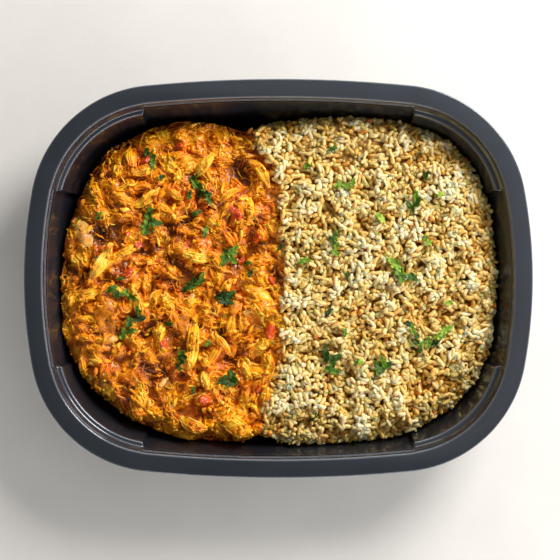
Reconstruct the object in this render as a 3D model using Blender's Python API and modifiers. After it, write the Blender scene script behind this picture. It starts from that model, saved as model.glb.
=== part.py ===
"""A black plastic ready-meal tray with shredded chicken curry on its left and brown rice on its right,
scattered with chopped parsley. Metres, +Z up, origin at the middle of the tray's underside."""

import math
import random

import bmesh
import bpy
from mathutils import Matrix, Vector, noise
from mathutils.bvhtree import BVHTree
from mathutils.geometry import delaunay_2d_cdt

MM = 0.001

# The tray, in millimetres. Its outline is eight tangent arcs: bowed sides and wide corners.
TRAY_LENGTH = 227.0
TRAY_WIDTH = 178.0
TRAY_HEIGHT = 38.0
LONG_SIDE_RADIUS = 606.0
SHORT_SIDE_RADIUS = 216.0
CORNER_RADIUS = 57.5
WALL_THICKNESS = 0.8
FLOOR_TOP = WALL_THICKNESS
PANEL_RISE = 1.0
LIP_DEPTH = 1.7
FLANGE_INNER = 8.2
WALL_TOP_INSET = 9.0
WALL_TOP = TRAY_HEIGHT - 2.0
WALL_FOOT = 5.0
WALL_DRAFT = math.tan(math.radians(14.0))
WALL_FOOT_INSET = WALL_TOP_INSET + (WALL_TOP - WALL_FOOT) * WALL_DRAFT
LEDGE_DEPTH = 5.0
LEDGE_INSET = 12.6
LEDGE_STARTS = (12.0, 14.5)
LEDGE_ENDS = (79.5, 82.0)

# The two heaps, in millimetres.
GAP = 0.35
CLEAR_OF_WALL = 0.7
BASE_INSET = 22.0
BASE_Z = FLOOR_TOP + PANEL_RISE + GAP
BELLY_Z = 8.0
EDGE_Z = 20.0
EDGE_FALL = 0.8
RICE_CROWN = 27.4
CURRY_CROWN = 26.4
RICE_ROUND_OFF = 13.0
CURRY_ROUND_OFF = 17.0
RICE_SWELL = 1.3
CURRY_SWELL = 2.0
BROAD_LUMP = 17.0
SMALL_LUMP = 8.0
BELLY_SPREAD = 2.2
BASE_SPREAD = 1.2

# The bumps on the heaps: how far apart they lie, their rise, and the depth of the hollows between.
CURRY_BUMP_SPACING = 7.0
CURRY_BUMP_REACH = 2.0
CURRY_BUMP_RISE = 1.3
CURRY_HOLLOW = 1.1
RICE_BUMP_SPACING = 4.8
RICE_BUMP_RISE = 0.95
RICE_HOLLOW = 0.9
GRAIN_LENGTH = 6.2
GRAIN_WIDTH = 2.3
RICE_BUMP_REACH = GRAIN_LENGTH * 0.28

# Where the curry meets the rice, from the far side to the near side.
DIVIDER = (
    (-14.0, 66.5), (-9.0, 60.0), (-2.7, 51.0), (2.0, 39.0), (1.6, 22.0), (3.6, 6.0),
    (2.4, -10.0), (3.2, -27.0), (-0.5, -44.0), (-5.5, -58.0), (-8.0, -70.5),
)
CURRY_EDGE = (
    (-16.0, -77.0), (-30.0, -77.4), (-46.0, -73.0), (-60.0, -68.0), (-74.0, -60.0), (-85.0, -51.0),
    (-93.0, -39.0), (-98.5, -25.0), (-99.7, -10.0), (-99.0, 6.0), (-97.0, 20.0), (-93.0, 32.0),
    (-87.5, 44.0), (-82.0, 55.0), (-71.0, 63.5), (-57.0, 69.5), (-42.0, 72.5), (-26.0, 70.8),
)
RICE_EDGE = (
    (4.0, -76.0), (24.0, -77.4), (42.0, -74.5), (58.0, -70.0), (71.0, -64.0), (81.0, -56.5),
    (89.5, -47.0), (95.0, -35.0), (98.0, -22.0), (99.2, -7.0), (99.0, 8.0), (97.3, 23.0),
    (95.0, 36.0), (91.0, 48.5), (83.0, 59.5), (72.0, 67.0), (57.0, 71.6), (34.0, 75.4), (14.0, 72.6),
    (-3.0, 70.8),
)

# Chicken pieces that stand out: middle x, y, length, width, thickness, turn in degrees, bend.
CHICKEN_STRIPS = (
    (-80.0, 7.0, 23.0, 6.5, 4.6, 66.0, 0.10), (-89.0, 19.0, 16.0, 7.5, 4.6, 115.0, 0.05),
    (-36.0, 9.5, 17.0, 5.0, 4.0, -8.0, 0.10), (-13.0, 32.0, 11.0, 4.2, 3.6, 88.0, 0.05),
    (-33.5, 51.0, 16.0, 5.0, 4.0, 52.0, 0.12), (-42.0, 53.0, 13.0, 4.6, 3.8, 40.0, -0.15),
    (-39.0, -30.0, 33.0, 6.0, 4.6, 80.0, 0.05), (-25.0, -30.0, 15.0, 4.6, 3.8, -52.0, -0.08),
    (-33.0, -46.0, 10.0, 4.0, 3.6, 108.0, 0.05), (-19.0, -68.5, 15.0, 8.5, 5.0, -32.0, 0.04),
    (-38.5, -68.0, 14.0, 6.5, 4.6, -24.0, 0.10), (-64.0, -59.5, 16.0, 5.5, 4.2, 112.0, 0.05),
    (-79.0, -22.0, 17.0, 7.0, 3.6, 92.0, 0.03), (-8.5, 48.0, 20.0, 5.2, 4.4, -50.0, -0.16),
    (-60.0, 36.0, 19.0, 5.0, 4.0, 32.0, 0.08), (-24.0, -6.0, 16.0, 5.0, 4.0, 70.0, -0.10),
)
TOMATO_BITS = ((-19.0, 29.0, 3.6), (-4.0, -24.0, 3.2), (-34.0, -55.0, 3.4), (-70.0, 4.0, 2.6))
SHRED_COUNT = 22
SHRED_SPACING = 10.5
SHRED_LENGTHS = (9.0, 17.0)
SHRED_WIDTHS = (2.0, 3.4)
SHRED_THICKNESS = 2.4
SHRED_LIFT = 0.4
EDGE_GRAIN_COUNT = 32
TOP_GRAIN_COUNT = 8
TOP_GRAIN_SPACING = 15.0
TOP_GRAIN_LIFT = 0.8

# Parsley leaves: name, middle x, y, half length, half width, turn in degrees, lobes.
LEAVES = (
    ("parsley_rice_1", 30.5, 42.0, 5.2, 3.0, 10.0, 3), ("parsley_rice_2", 61.0, 34.5, 4.4, 2.8, 65.0, 3),
    ("parsley_rice_3", 25.5, 15.5, 6.0, 2.6, 100.0, 3), ("parsley_rice_4", 55.5, 2.5, 7.6, 4.2, -35.0, 5),
    ("parsley_rice_5", 61.5, -26.0, 8.2, 2.3, 112.0, 2), ("parsley_rice_6", 72.0, -27.0, 7.2, 3.0, 34.0, 3),
    ("parsley_rice_7", 23.5, -37.0, 6.8, 4.2, 100.0, 4), ("parsley_rice_8", 46.5, -39.5, 4.8, 3.8, 60.0, 4),
    ("parsley_curry_1", -57.5, 55.0, 5.0, 3.0, 110.0, 3), ("parsley_curry_2", -35.0, 40.5, 7.6, 2.6, -48.0, 4),
    ("parsley_curry_3", -58.0, 25.5, 5.6, 3.6, 75.0, 4), ("parsley_curry_4", -22.0, 9.5, 4.9, 4.2, 20.0, 4),
    ("parsley_curry_5", -70.5, -7.0, 7.4, 3.4, -12.0, 5), ("parsley_curry_6", -66.0, -20.5, 8.6, 3.2, 58.0, 4),
    ("parsley_curry_7", -38.0, -2.5, 6.4, 2.5, 36.0, 3), ("parsley_curry_8", -23.5, -8.5, 4.2, 3.8, 0.0, 4),
    ("parsley_curry_9", -22.5, -46.5, 5.0, 3.4, 25.0, 4),
)
LEAF_THICKNESS = 0.45
LEAF_WAVE = 0.35
LEAF_CUP = 0.05
PROBE_STEPS = 6
PROBE_SPREAD = 0.3
ABOVE_THE_MEAL = 90.0
RICE_FLAKES = (
    (13.5, 52.0), (72.0, 37.5), (46.0, 27.5), (67.0, 17.0), (11.5, 8.0), (31.0, 1.0), (23.0, -14.5),
    (76.5, -11.0), (30.0, -24.0), (36.0, -37.5), (15.5, -62.5), (66.5, 46.5),
)
CURRY_FLAKES = (
    (-53.0, 45.5), (-81.0, 28.5), (-37.0, 29.5), (-33.0, 21.0), (-49.5, -20.5), (-32.0, -29.5),
    (-43.5, -36.0), (-38.5, -50.5), (-14.0, 7.0), (-45.0, -40.0),
)
FLAKE_RADIUS = 1.9
FLAKE_SIDES = 5
FLAKE_THICKNESS = 1.4
FLAKE_LIFT = 0.9

# Colours as linear red, green and blue.
TRAY_COLOUR = (0.012, 0.013, 0.016, 1.0)
CURRY_COLOUR = (0.72, 0.26, 0.03, 1.0)
RICE_COLOUR = (0.62, 0.46, 0.25, 1.0)
PARSLEY_COLOUR = (0.05, 0.17, 0.02, 1.0)


def smooth_step(low, high, value):
    share = min(1.0, max(0.0, (value - low) / (high - low)))
    return share * share * (3.0 - 2.0 * share)


def outline_arcs():
    """(centre, radius) of the long-side, short-side and corner arcs in the quarter where x and y are positive."""
    long_centre = Vector((0.0, TRAY_WIDTH / 2 - LONG_SIDE_RADIUS))
    short_centre = Vector((TRAY_LENGTH / 2 - SHORT_SIDE_RADIUS, 0.0))
    from_long = LONG_SIDE_RADIUS - CORNER_RADIUS
    from_short = SHORT_SIDE_RADIUS - CORNER_RADIUS
    between = short_centre - long_centre
    along = (from_long**2 - from_short**2 + between.length_squared) / (2 * between.length)
    across = math.sqrt(from_long**2 - along**2)
    direction = between.normalized()
    corner_centre = long_centre + direction * along + Vector((direction.y, -direction.x)) * across
    return (long_centre, LONG_SIDE_RADIUS), (short_centre, SHORT_SIDE_RADIUS), (corner_centre, CORNER_RADIUS)


LONG_ARC, SHORT_ARC, CORNER_ARC = outline_arcs()
CORNER_FROM = math.atan2(*reversed(CORNER_ARC[0] - SHORT_ARC[0]))
CORNER_TO = math.atan2(*reversed(CORNER_ARC[0] - LONG_ARC[0]))


def outline_point(angle, inset):
    """The point of the tray's outline whose outward direction is angle, moved in by inset."""
    folded = math.atan2(abs(math.sin(angle)), abs(math.cos(angle)))
    centre, radius = CORNER_ARC
    if folded < CORNER_FROM:
        centre, radius = SHORT_ARC
    elif folded > CORNER_TO:
        centre, radius = LONG_ARC
    x = centre.x + (radius - inset) * math.cos(folded)
    y = centre.y + (radius - inset) * math.sin(folded)
    return Vector((math.copysign(x, math.cos(angle)), math.copysign(y, math.sin(angle))))


def inset_at(x, y):
    """(how far the point lies inside the outline, the outward direction there)."""
    point = Vector((abs(x), abs(y)))
    centre, radius = CORNER_ARC
    out = point - centre
    if not CORNER_FROM <= math.atan2(out.y, out.x) <= CORNER_TO:
        centre, radius = min((LONG_ARC, SHORT_ARC), key=lambda arc: arc[1] - (point - arc[0]).length)
        out = point - centre
    outward = out.normalized()
    return radius - out.length, Vector((math.copysign(outward.x, x), math.copysign(outward.y, y)))


def corner_share(angle):
    """1 along a corner's stacking ledge, 0 along a side."""
    folded = math.degrees(math.atan2(abs(math.sin(angle)), abs(math.cos(angle))))
    return smooth_step(*LEDGE_STARTS, folded) * (1.0 - smooth_step(*LEDGE_ENDS, folded))


def tray_section(corner):
    """(inset, height) down the tray's upper face, from lip to floor; corner blends in the stacking ledge."""
    ledge_z = TRAY_HEIGHT - LEDGE_DEPTH
    side_inset = WALL_TOP_INSET + (WALL_TOP - ledge_z) * WALL_DRAFT
    panel_z = FLOOR_TOP + PANEL_RISE
    side_and_corner = (
        ((0.0, TRAY_HEIGHT - LIP_DEPTH), (0.0, TRAY_HEIGHT - LIP_DEPTH)),
        ((0.0, TRAY_HEIGHT - 0.6), (0.0, TRAY_HEIGHT - 0.6)),
        ((0.7, TRAY_HEIGHT), (0.7, TRAY_HEIGHT)),
        ((FLANGE_INNER, TRAY_HEIGHT), (FLANGE_INNER - 0.5, TRAY_HEIGHT)),
        ((FLANGE_INNER + 0.5, TRAY_HEIGHT - 1.5), (FLANGE_INNER, TRAY_HEIGHT - 1.5)),
        ((WALL_TOP_INSET + 0.4, WALL_TOP), (FLANGE_INNER + 0.3, WALL_TOP - 0.6)),
        ((side_inset, ledge_z), (FLANGE_INNER + 1.0, ledge_z)),
        ((side_inset + 0.1, ledge_z - 0.4), (LEDGE_INSET - 0.4, ledge_z - 0.2)),
        ((side_inset + 0.4, ledge_z - 1.6), (LEDGE_INSET + 0.2, ledge_z - 1.4)),
        ((WALL_FOOT_INSET, WALL_FOOT), (WALL_FOOT_INSET + 1.4, WALL_FOOT)),
        ((WALL_FOOT_INSET + 1.6, 2.0), (WALL_FOOT_INSET + 2.6, 2.0)),
        ((WALL_FOOT_INSET + 4.3, FLOOR_TOP), (WALL_FOOT_INSET + 5.0, FLOOR_TOP)),
        ((WALL_FOOT_INSET + 10.0, FLOOR_TOP), (WALL_FOOT_INSET + 10.0, FLOOR_TOP)),
        ((WALL_FOOT_INSET + 11.5, panel_z), (WALL_FOOT_INSET + 11.5, panel_z)),
    )
    return [
        (side[0] + (ledge[0] - side[0]) * corner, side[1] + (ledge[1] - side[1]) * corner)
        for side, ledge in side_and_corner
    ]


def wall_inset(x, y, z):
    """The inset of the tray's inner face at this height, by the point's own stretch of wall."""
    outward = inset_at(x, y)[1]
    section = tray_section(corner_share(math.atan2(outward.y, outward.x)))
    for (upper, top), (lower, bottom) in zip(section[3:], section[4:]):
        if bottom <= z <= top:
            return upper + (lower - upper) * (top - z) / max(top - bottom, 1e-6)
    return section[-3][0]


def kept_off_wall(x, y, z, clearance):
    """The point, moved in where it would come nearer the tray's wall than clearance."""
    inset, outward = inset_at(x, y)
    move = max(0.0, wall_inset(x, y, z) + clearance - inset)
    return Vector((x - outward.x * move, y - outward.y * move))


def quarter_angles():
    """Directions round one quarter of the tray, close together at the ends of the ledge."""
    side = [math.degrees(CORNER_FROM) * share for share in (0.0, 0.45, 0.85)]
    first, last = LEDGE_STARTS[1], LEDGE_ENDS[0]
    corner = [first + (last - first) * step / 6 for step in range(7)]
    long_from = math.degrees(CORNER_TO)
    far_side = [long_from + (90.0 - long_from) * share for share in (0.0, 0.34, 0.67)]
    return side + [LEDGE_STARTS[0]] + corner + [LEDGE_ENDS[1]] + far_side


def all_angles():
    quarter = [math.radians(angle) for angle in quarter_angles()]
    half = quarter + [math.pi / 2] + [math.pi - angle for angle in reversed(quarter[1:])]
    return half + [angle + math.pi for angle in half]


def material(name, colour, roughness):
    made = bpy.data.materials.new(name)
    made.use_nodes = True
    shader = made.node_tree.nodes["Principled BSDF"]
    shader.inputs["Base Color"].default_value = colour
    shader.inputs["Roughness"].default_value = roughness
    made.diffuse_color = colour
    return made


def add_object(name, shape, collection, finish=None):
    """Makes an object of a bmesh that is in millimetres, and frees the bmesh."""
    bmesh.ops.scale(shape, vec=(MM, MM, MM), verts=shape.verts)
    mesh = bpy.data.meshes.new(name)
    shape.to_mesh(mesh)
    shape.free()
    made = bpy.data.objects.new(name, mesh)
    collection.objects.link(made)
    if finish:
        mesh.materials.append(finish)
    return made


def bridge_rings(shape, upper, lower):
    for step in range(len(upper)):
        after = (step + 1) % len(upper)
        shape.faces.new((upper[step], lower[step], lower[after], upper[after]))


def make_tray(collection, finish):
    """The thermoformed shell: its upper face is lofted from lip to floor and Solidify gives the sheet's thickness."""
    shape = bmesh.new()
    columns = [(angle, tray_section(corner_share(angle))) for angle in all_angles()]
    rings = []
    for level in range(len(columns[0][1])):
        ring = []
        for angle, section in columns:
            inset, height = section[level]
            ring.append(shape.verts.new((*outline_point(angle, inset), height)))
        rings.append(ring)
    for upper, lower in zip(rings, rings[1:]):
        bridge_rings(shape, lower, upper)
    bmesh.ops.contextual_create(shape, geom=rings[-1])
    bmesh.ops.recalc_face_normals(shape, faces=shape.faces)
    bmesh.ops.triangulate(shape, faces=[face for face in shape.faces if len(face.verts) > 4])
    shape.faces.ensure_lookup_table()
    if shape.faces[-1].normal.z < 0:
        bmesh.ops.reverse_faces(shape, faces=shape.faces)
    tray = add_object("tray", shape, collection, finish)
    tray.data.shade_smooth()
    sheet = tray.modifiers.new("sheet", "SOLIDIFY")
    sheet.thickness = WALL_THICKNESS * MM
    sheet.offset = -1.0
    sheet.use_even_offset = True
    return tray


def smooth_line(points, closed, spacing):
    """A Catmull-Rom line through the points, with a point about every spacing."""
    count = len(points)
    line = []
    for index in range(count if closed else count - 1):
        before, here, after, beyond = (
            Vector(points[(index + shift) % count] if closed else points[min(max(index + shift, 0), count - 1)])
            for shift in (-1, 0, 1, 2)
        )
        steps = max(1, round((after - here).length / spacing))
        for step in range(steps):
            t = step / steps
            line.append(
                0.5 * (2 * here + (after - before) * t
                       + (2 * before - 5 * here + 4 * after - beyond) * t * t
                       + (3 * here - before - 3 * after + beyond) * t**3)
            )
    if not closed:
        line.append(Vector(points[-1]))
    return line


def distance_to_line(x, y, line):
    """The shortest distance from the point to the open line."""
    nearest = math.inf
    for start, end in zip(line, line[1:]):
        along = end - start
        share = min(1.0, max(0.0, (Vector((x, y)) - start).dot(along) / along.length_squared))
        nearest = min(nearest, (start + along * share - Vector((x, y))).length)
    return nearest


def inside(x, y, loop):
    found = False
    for start, end in zip(loop, loop[1:] + loop[:1]):
        if (start.y > y) != (end.y > y) and x < start.x + (y - start.y) / (end.y - start.y) * (end.x - start.x):
            found = not found
    return found


class Heap:
    """One side's food: its plan, and the height of its bare surface."""

    def __init__(self, name, edge, divider, crown, round_off, swell, seed):
        self.name = name
        self.free = smooth_line(edge, False, 3.4)
        self.loop = self.free + smooth_line(divider, False, 4.2)
        self.crown = crown
        self.round_off = round_off
        self.swell = swell
        self.random = random.Random(seed)

    def height(self, x, y):
        """The bare surface: it crowns in the middle, and its rim is lower where it stands off the wall."""
        from_rim = distance_to_line(x, y, self.free)
        rise = min(1.0, from_rim / self.round_off)
        off_wall = max(0.0, inset_at(x, y)[0] - from_rim - WALL_FOOT_INSET + 2.0)
        rim_z = max(BELLY_Z + 2.0, EDGE_Z - EDGE_FALL * off_wall)
        fullness = 1.0 - (1.0 - rise) ** 2.2
        broad = noise.noise(Vector((x, y, self.crown)) / BROAD_LUMP)
        small = noise.noise(Vector((x, y, 3.0)) / SMALL_LUMP)
        return rim_z + (self.crown - rim_z + self.swell * (broad + 0.5 * small)) * fullness

    def scattered(self, spacing, tries, kept=()):
        """Points at least spacing apart, and half as far from the loop."""
        lows = [min(point[axis] for point in self.loop) for axis in (0, 1)]
        highs = [max(point[axis] for point in self.loop) for axis in (0, 1)]
        cells = {}
        for point in kept:
            cells.setdefault((point.x // spacing, point.y // spacing), []).append(point)
        found = []
        for _ in range(tries):
            point = Vector((self.random.uniform(lows[0], highs[0]), self.random.uniform(lows[1], highs[1])))
            column, row = point.x // spacing, point.y // spacing
            near = (
                other
                for dx in (-1, 0, 1)
                for dy in (-1, 0, 1)
                for other in cells.get((column + dx, row + dy), ())
            )
            if any((other - point).length < spacing for other in near):
                continue
            if not inside(*point, self.loop) or distance_to_line(*point, self.loop + self.loop[:1]) < spacing / 2:
                continue
            cells.setdefault((column, row), []).append(point)
            found.append(point)
        return found


def relief_points(heap, spacing, tries, reach, rise, fall):
    """Crests in pairs, one pair for each grain or lump, and hollows between them: (x, y, lift), and the crest edges."""
    crests, edges = [], []
    for middle in heap.scattered(spacing, tries):
        turn = heap.random.uniform(0.0, math.pi)
        half = Vector((math.cos(turn), math.sin(turn))) * reach
        lift = rise * heap.random.uniform(0.5, 1.2)
        ends = [middle - half, middle + half]
        if all(inside(*end, heap.loop) and distance_to_line(*end, heap.loop + heap.loop[:1]) > 0.9 for end in ends):
            edges.append((len(crests), len(crests) + 1))
            crests += [(*ends[0], lift * heap.random.uniform(0.7, 1.0)), (*ends[1], lift)]
    taken = [Vector(crest[:2]) for crest in crests]
    hollows = [(*point, -fall * heap.random.uniform(0.5, 1.0)) for point in heap.scattered(spacing * 0.5, tries, taken)]
    return crests + hollows, edges


def make_core(heap, collection, finish, relief):
    """The heap's solid: a relief surface, sides that lean on the tray, and a flat base just over the floor."""
    points, edges = relief
    count = len(heap.loop)
    plan = [Vector(point) for point in heap.loop] + [Vector(point[:2]) for point in points]
    rim = [(step, (step + 1) % count) for step in range(count)]
    crests = [(start + count, end + count) for start, end in edges]
    flat, _, faces, sources, _, _ = delaunay_2d_cdt(plan, rim + crests, [], 1, 1e-4)
    shape = bmesh.new()
    verts = []
    for point, source in zip(flat, sources):
        lift = points[source[0] - count][2] if source and source[0] >= count else 0.0
        x, y = point
        z = heap.height(x, y) + lift
        if source and source[0] < count:
            x, y = kept_off_wall(x, y, z, CLEAR_OF_WALL)
        verts.append(shape.verts.new((x, y, z)))
    for face in faces:
        shape.faces.new([verts[index] for index in face])
    by_source = {source[0]: vert for source, vert in zip(sources, verts) if source}
    top_ring = [by_source[step] for step in range(count)]
    rings = [top_ring]
    for z, spread, least in ((BELLY_Z, BELLY_SPREAD, 0.0), (BASE_Z, BASE_SPREAD, BASE_INSET)):
        ring = []
        for step, point in enumerate(heap.loop):
            outward = inset_at(*point)[1]
            free = step < len(heap.free)
            moved = point + outward * spread if free else point
            moved = kept_off_wall(*moved, z, CLEAR_OF_WALL)
            inset, outward = inset_at(*moved)
            moved = moved - outward * max(0.0, least - inset)
            ring.append(shape.verts.new((*moved, z)))
        rings.append(ring)
    for upper, lower in zip(rings, rings[1:]):
        bridge_rings(shape, upper, lower)
    bmesh.ops.remove_doubles(shape, verts=rings[-1], dist=1.0)
    bmesh.ops.holes_fill(shape, edges=shape.edges)
    bmesh.ops.recalc_face_normals(shape, faces=shape.faces)
    bmesh.ops.triangulate(shape, faces=shape.faces)
    return add_object(heap.name, shape, collection, finish)


def slope_turn(heap, x, y, turn):
    """A rotation that lays a piece along the heap's surface, turned about its normal."""
    step = 2.0
    ahead = (heap.height(x + step, y) - heap.height(x - step, y)) / (2 * step)
    aside = (heap.height(x, y + step) - heap.height(x, y - step)) / (2 * step)
    normal = Vector((-ahead, -aside, 1.0)).normalized()
    return normal.to_track_quat("Z", "Y").to_matrix().to_4x4() @ Matrix.Rotation(turn, 4, "Z")


def fits(heap, shape):
    """Whether every corner of the piece lies clear of the tray's wall and of the other heap."""
    for vert in shape.verts:
        x, y, z = vert.co
        free_of_wall = inset_at(x, y)[0] > wall_inset(x, y, z) + 0.5
        beyond = not inside(x, y, heap.loop)
        over_divider = beyond and distance_to_line(x, y, heap.loop[len(heap.free):]) < 9.0
        if not free_of_wall or over_divider or z < BASE_Z + 1.0:
            return False
    return True


def place(heap, shape, x, y, turn, sink):
    """Moves the piece, modelled about the origin, onto the heap's surface and sinks it a little."""
    z = heap.height(x, y) - sink
    shape.transform(Matrix.Translation((x, y, z)) @ slope_turn(heap, x, y, turn))


def strip_shape(length, width, thickness, bend, sides, rings):
    """A tapered, bent strip of chicken, from a sphere with few sides."""
    shape = bmesh.new()
    bmesh.ops.create_uvsphere(shape, u_segments=sides, v_segments=rings, radius=1.0)
    bmesh.ops.rotate(shape, cent=(0, 0, 0), matrix=Matrix.Rotation(math.pi / 2, 3, "Y"), verts=shape.verts)
    for vert in shape.verts:
        x, y, z = vert.co
        fuller = 1.0 / max(0.45, math.sqrt(max(0.0, 1.0 - x * x))) ** 0.45
        vert.co = (x * length / 2, y * fuller * width / 2 + bend * x * x * length, z * fuller * thickness / 2)
    return shape


def grain_shape():
    """A cooked grain of rice, as a stretched icosahedron."""
    shape = bmesh.new()
    bmesh.ops.create_icosphere(shape, subdivisions=1, radius=1.0)
    bmesh.ops.scale(shape, vec=(GRAIN_LENGTH / 2, GRAIN_WIDTH / 2, GRAIN_WIDTH / 2), verts=shape.verts)
    return shape


def flake_shape():
    """A chopped fleck of parsley, thick enough to sink into what it lies on."""
    shape = bmesh.new()
    bmesh.ops.create_cone(
        shape, cap_ends=True, cap_tris=True, segments=FLAKE_SIDES, radius1=FLAKE_RADIUS, radius2=FLAKE_RADIUS,
        depth=FLAKE_THICKNESS,
    )
    for index, vert in enumerate(shape.verts):
        vert.co.x *= 1.0 + 0.28 * math.sin(2.3 * (index % FLAKE_SIDES))
    return shape


def join_pieces(core, pieces, library):
    """Fuses the pieces onto the core with one union, and drops them."""
    fused = bpy.data.collections.new(core.name + "_pieces")
    library.children.link(fused)
    for index, shape in enumerate(pieces):
        add_object(f"{core.name}_piece_{index}", shape, fused)
    union = core.modifiers.new("pieces", "BOOLEAN")
    union.operation = "UNION"
    union.operand_type = "COLLECTION"
    union.collection = fused
    union.solver = "MANIFOLD"
    graph = bpy.context.evaluated_depsgraph_get()
    joined = bpy.data.meshes.new_from_object(core.evaluated_get(graph))
    core.modifiers.remove(union)
    core.data = joined
    for piece in list(fused.objects):
        bpy.data.objects.remove(piece)
    bpy.data.collections.remove(fused)
    drop_scraps(joined)


def drop_scraps(mesh):
    """Keeps the largest connected body and removes loose scraps and sealed hollows."""
    shape = bmesh.new()
    shape.from_mesh(mesh)
    bmesh.ops.remove_doubles(shape, verts=shape.verts, dist=0.002 * MM)
    waiting = set(shape.verts)
    bodies = []
    while waiting:
        body, front = set(), [waiting.pop()]
        while front:
            vert = front.pop()
            body.add(vert)
            for edge in vert.link_edges:
                other = edge.other_vert(vert)
                if other in waiting:
                    waiting.remove(other)
                    front.append(other)
        bodies.append(body)
    bodies.sort(key=len)
    for body in bodies[:-1]:
        bmesh.ops.delete(shape, geom=list(body), context="VERTS")
    shape.to_mesh(mesh)
    shape.free()


def make_curry(collection, library, finish):
    """Shredded chicken in sauce: a lumpy core with strips, shreds, tomato and parsley flecks fused on."""
    heap = Heap("curry", CURRY_EDGE, DIVIDER, CURRY_CROWN, CURRY_ROUND_OFF, CURRY_SWELL, seed=7)
    relief = relief_points(heap, CURRY_BUMP_SPACING, 3200, CURRY_BUMP_REACH, CURRY_BUMP_RISE, CURRY_HOLLOW)
    core = make_core(heap, collection, finish, relief)
    pieces = []
    for x, y, length, width, thickness, turn, bend in CHICKEN_STRIPS:
        shape = strip_shape(length, width, thickness, bend, sides=6, rings=6)
        place(heap, shape, x, y, math.radians(turn), thickness * 0.08)
        pieces.append(shape)
    for x, y in heap.scattered(SHRED_SPACING, 1400)[:SHRED_COUNT]:
        length, width = heap.random.uniform(*SHRED_LENGTHS), heap.random.uniform(*SHRED_WIDTHS)
        bend = heap.random.uniform(-0.16, 0.16)
        shape = strip_shape(length, width, SHRED_THICKNESS, bend, sides=5, rings=5)
        place(heap, shape, x, y, heap.random.uniform(0.0, math.pi), -SHRED_LIFT)
        pieces.append(shape)
    for x, y, radius in TOMATO_BITS:
        shape = bmesh.new()
        bmesh.ops.create_icosphere(shape, subdivisions=1, radius=radius)
        bmesh.ops.scale(shape, vec=(1.0, 0.8, 0.6), verts=shape.verts)
        place(heap, shape, x, y, 0.4 * x, 0.0)
        pieces.append(shape)
    for index, (x, y) in enumerate(CURRY_FLAKES):
        shape = flake_shape()
        place(heap, shape, x, y, index * 1.3, -FLAKE_LIFT)
        pieces.append(shape)
    join_pieces(core, [shape for shape in pieces if fits(heap, shape)], library)
    return heap, core


def make_rice(collection, library, finish):
    """Brown rice: a mound whose relief has grain-sized bumps, with loose grains and parsley flecks fused on."""
    divider = [(x + 2 * GAP, y) for x, y in DIVIDER]
    heap = Heap("rice", RICE_EDGE, divider, RICE_CROWN, RICE_ROUND_OFF, RICE_SWELL, seed=11)
    relief = relief_points(heap, RICE_BUMP_SPACING, 9000, RICE_BUMP_REACH, RICE_BUMP_RISE, RICE_HOLLOW)
    core = make_core(heap, collection, finish, relief)
    pieces = []
    rim = heap.free[2:-2]
    for step in range(EDGE_GRAIN_COUNT):
        point = rim[step * len(rim) // EDGE_GRAIN_COUNT]
        inward = (Vector((48.0, 0.0)) - point).normalized() * heap.random.uniform(0.2, 2.6)
        shape = grain_shape()
        shape.transform(Matrix.Rotation(heap.random.uniform(-0.6, 0.6), 4, "Y"))
        place(heap, shape, *(point + inward), heap.random.uniform(0.0, math.pi), heap.random.uniform(-0.6, 1.6))
        pieces.append(shape)
    for x, y in heap.scattered(TOP_GRAIN_SPACING, 900)[:TOP_GRAIN_COUNT]:
        shape = grain_shape()
        shape.transform(Matrix.Rotation(heap.random.uniform(-0.4, 0.4), 4, "Y"))
        place(heap, shape, x, y, heap.random.uniform(0.0, math.pi), -TOP_GRAIN_LIFT)
        pieces.append(shape)
    for index, (x, y) in enumerate(RICE_FLAKES):
        shape = flake_shape()
        place(heap, shape, x, y, index * 1.3, -FLAKE_LIFT)
        pieces.append(shape)
    join_pieces(core, [shape for shape in pieces if fits(heap, shape)], library)
    return heap, core


def leaf_reach(angle, half_length, half_width, lobes):
    """How far the leaf's notched edge lies from its middle in this direction."""
    oval = 1.0 / math.hypot(math.cos(angle) / half_length, math.sin(angle) / half_width)
    return oval * (0.84 + 0.16 * math.cos(lobes * angle))


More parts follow.
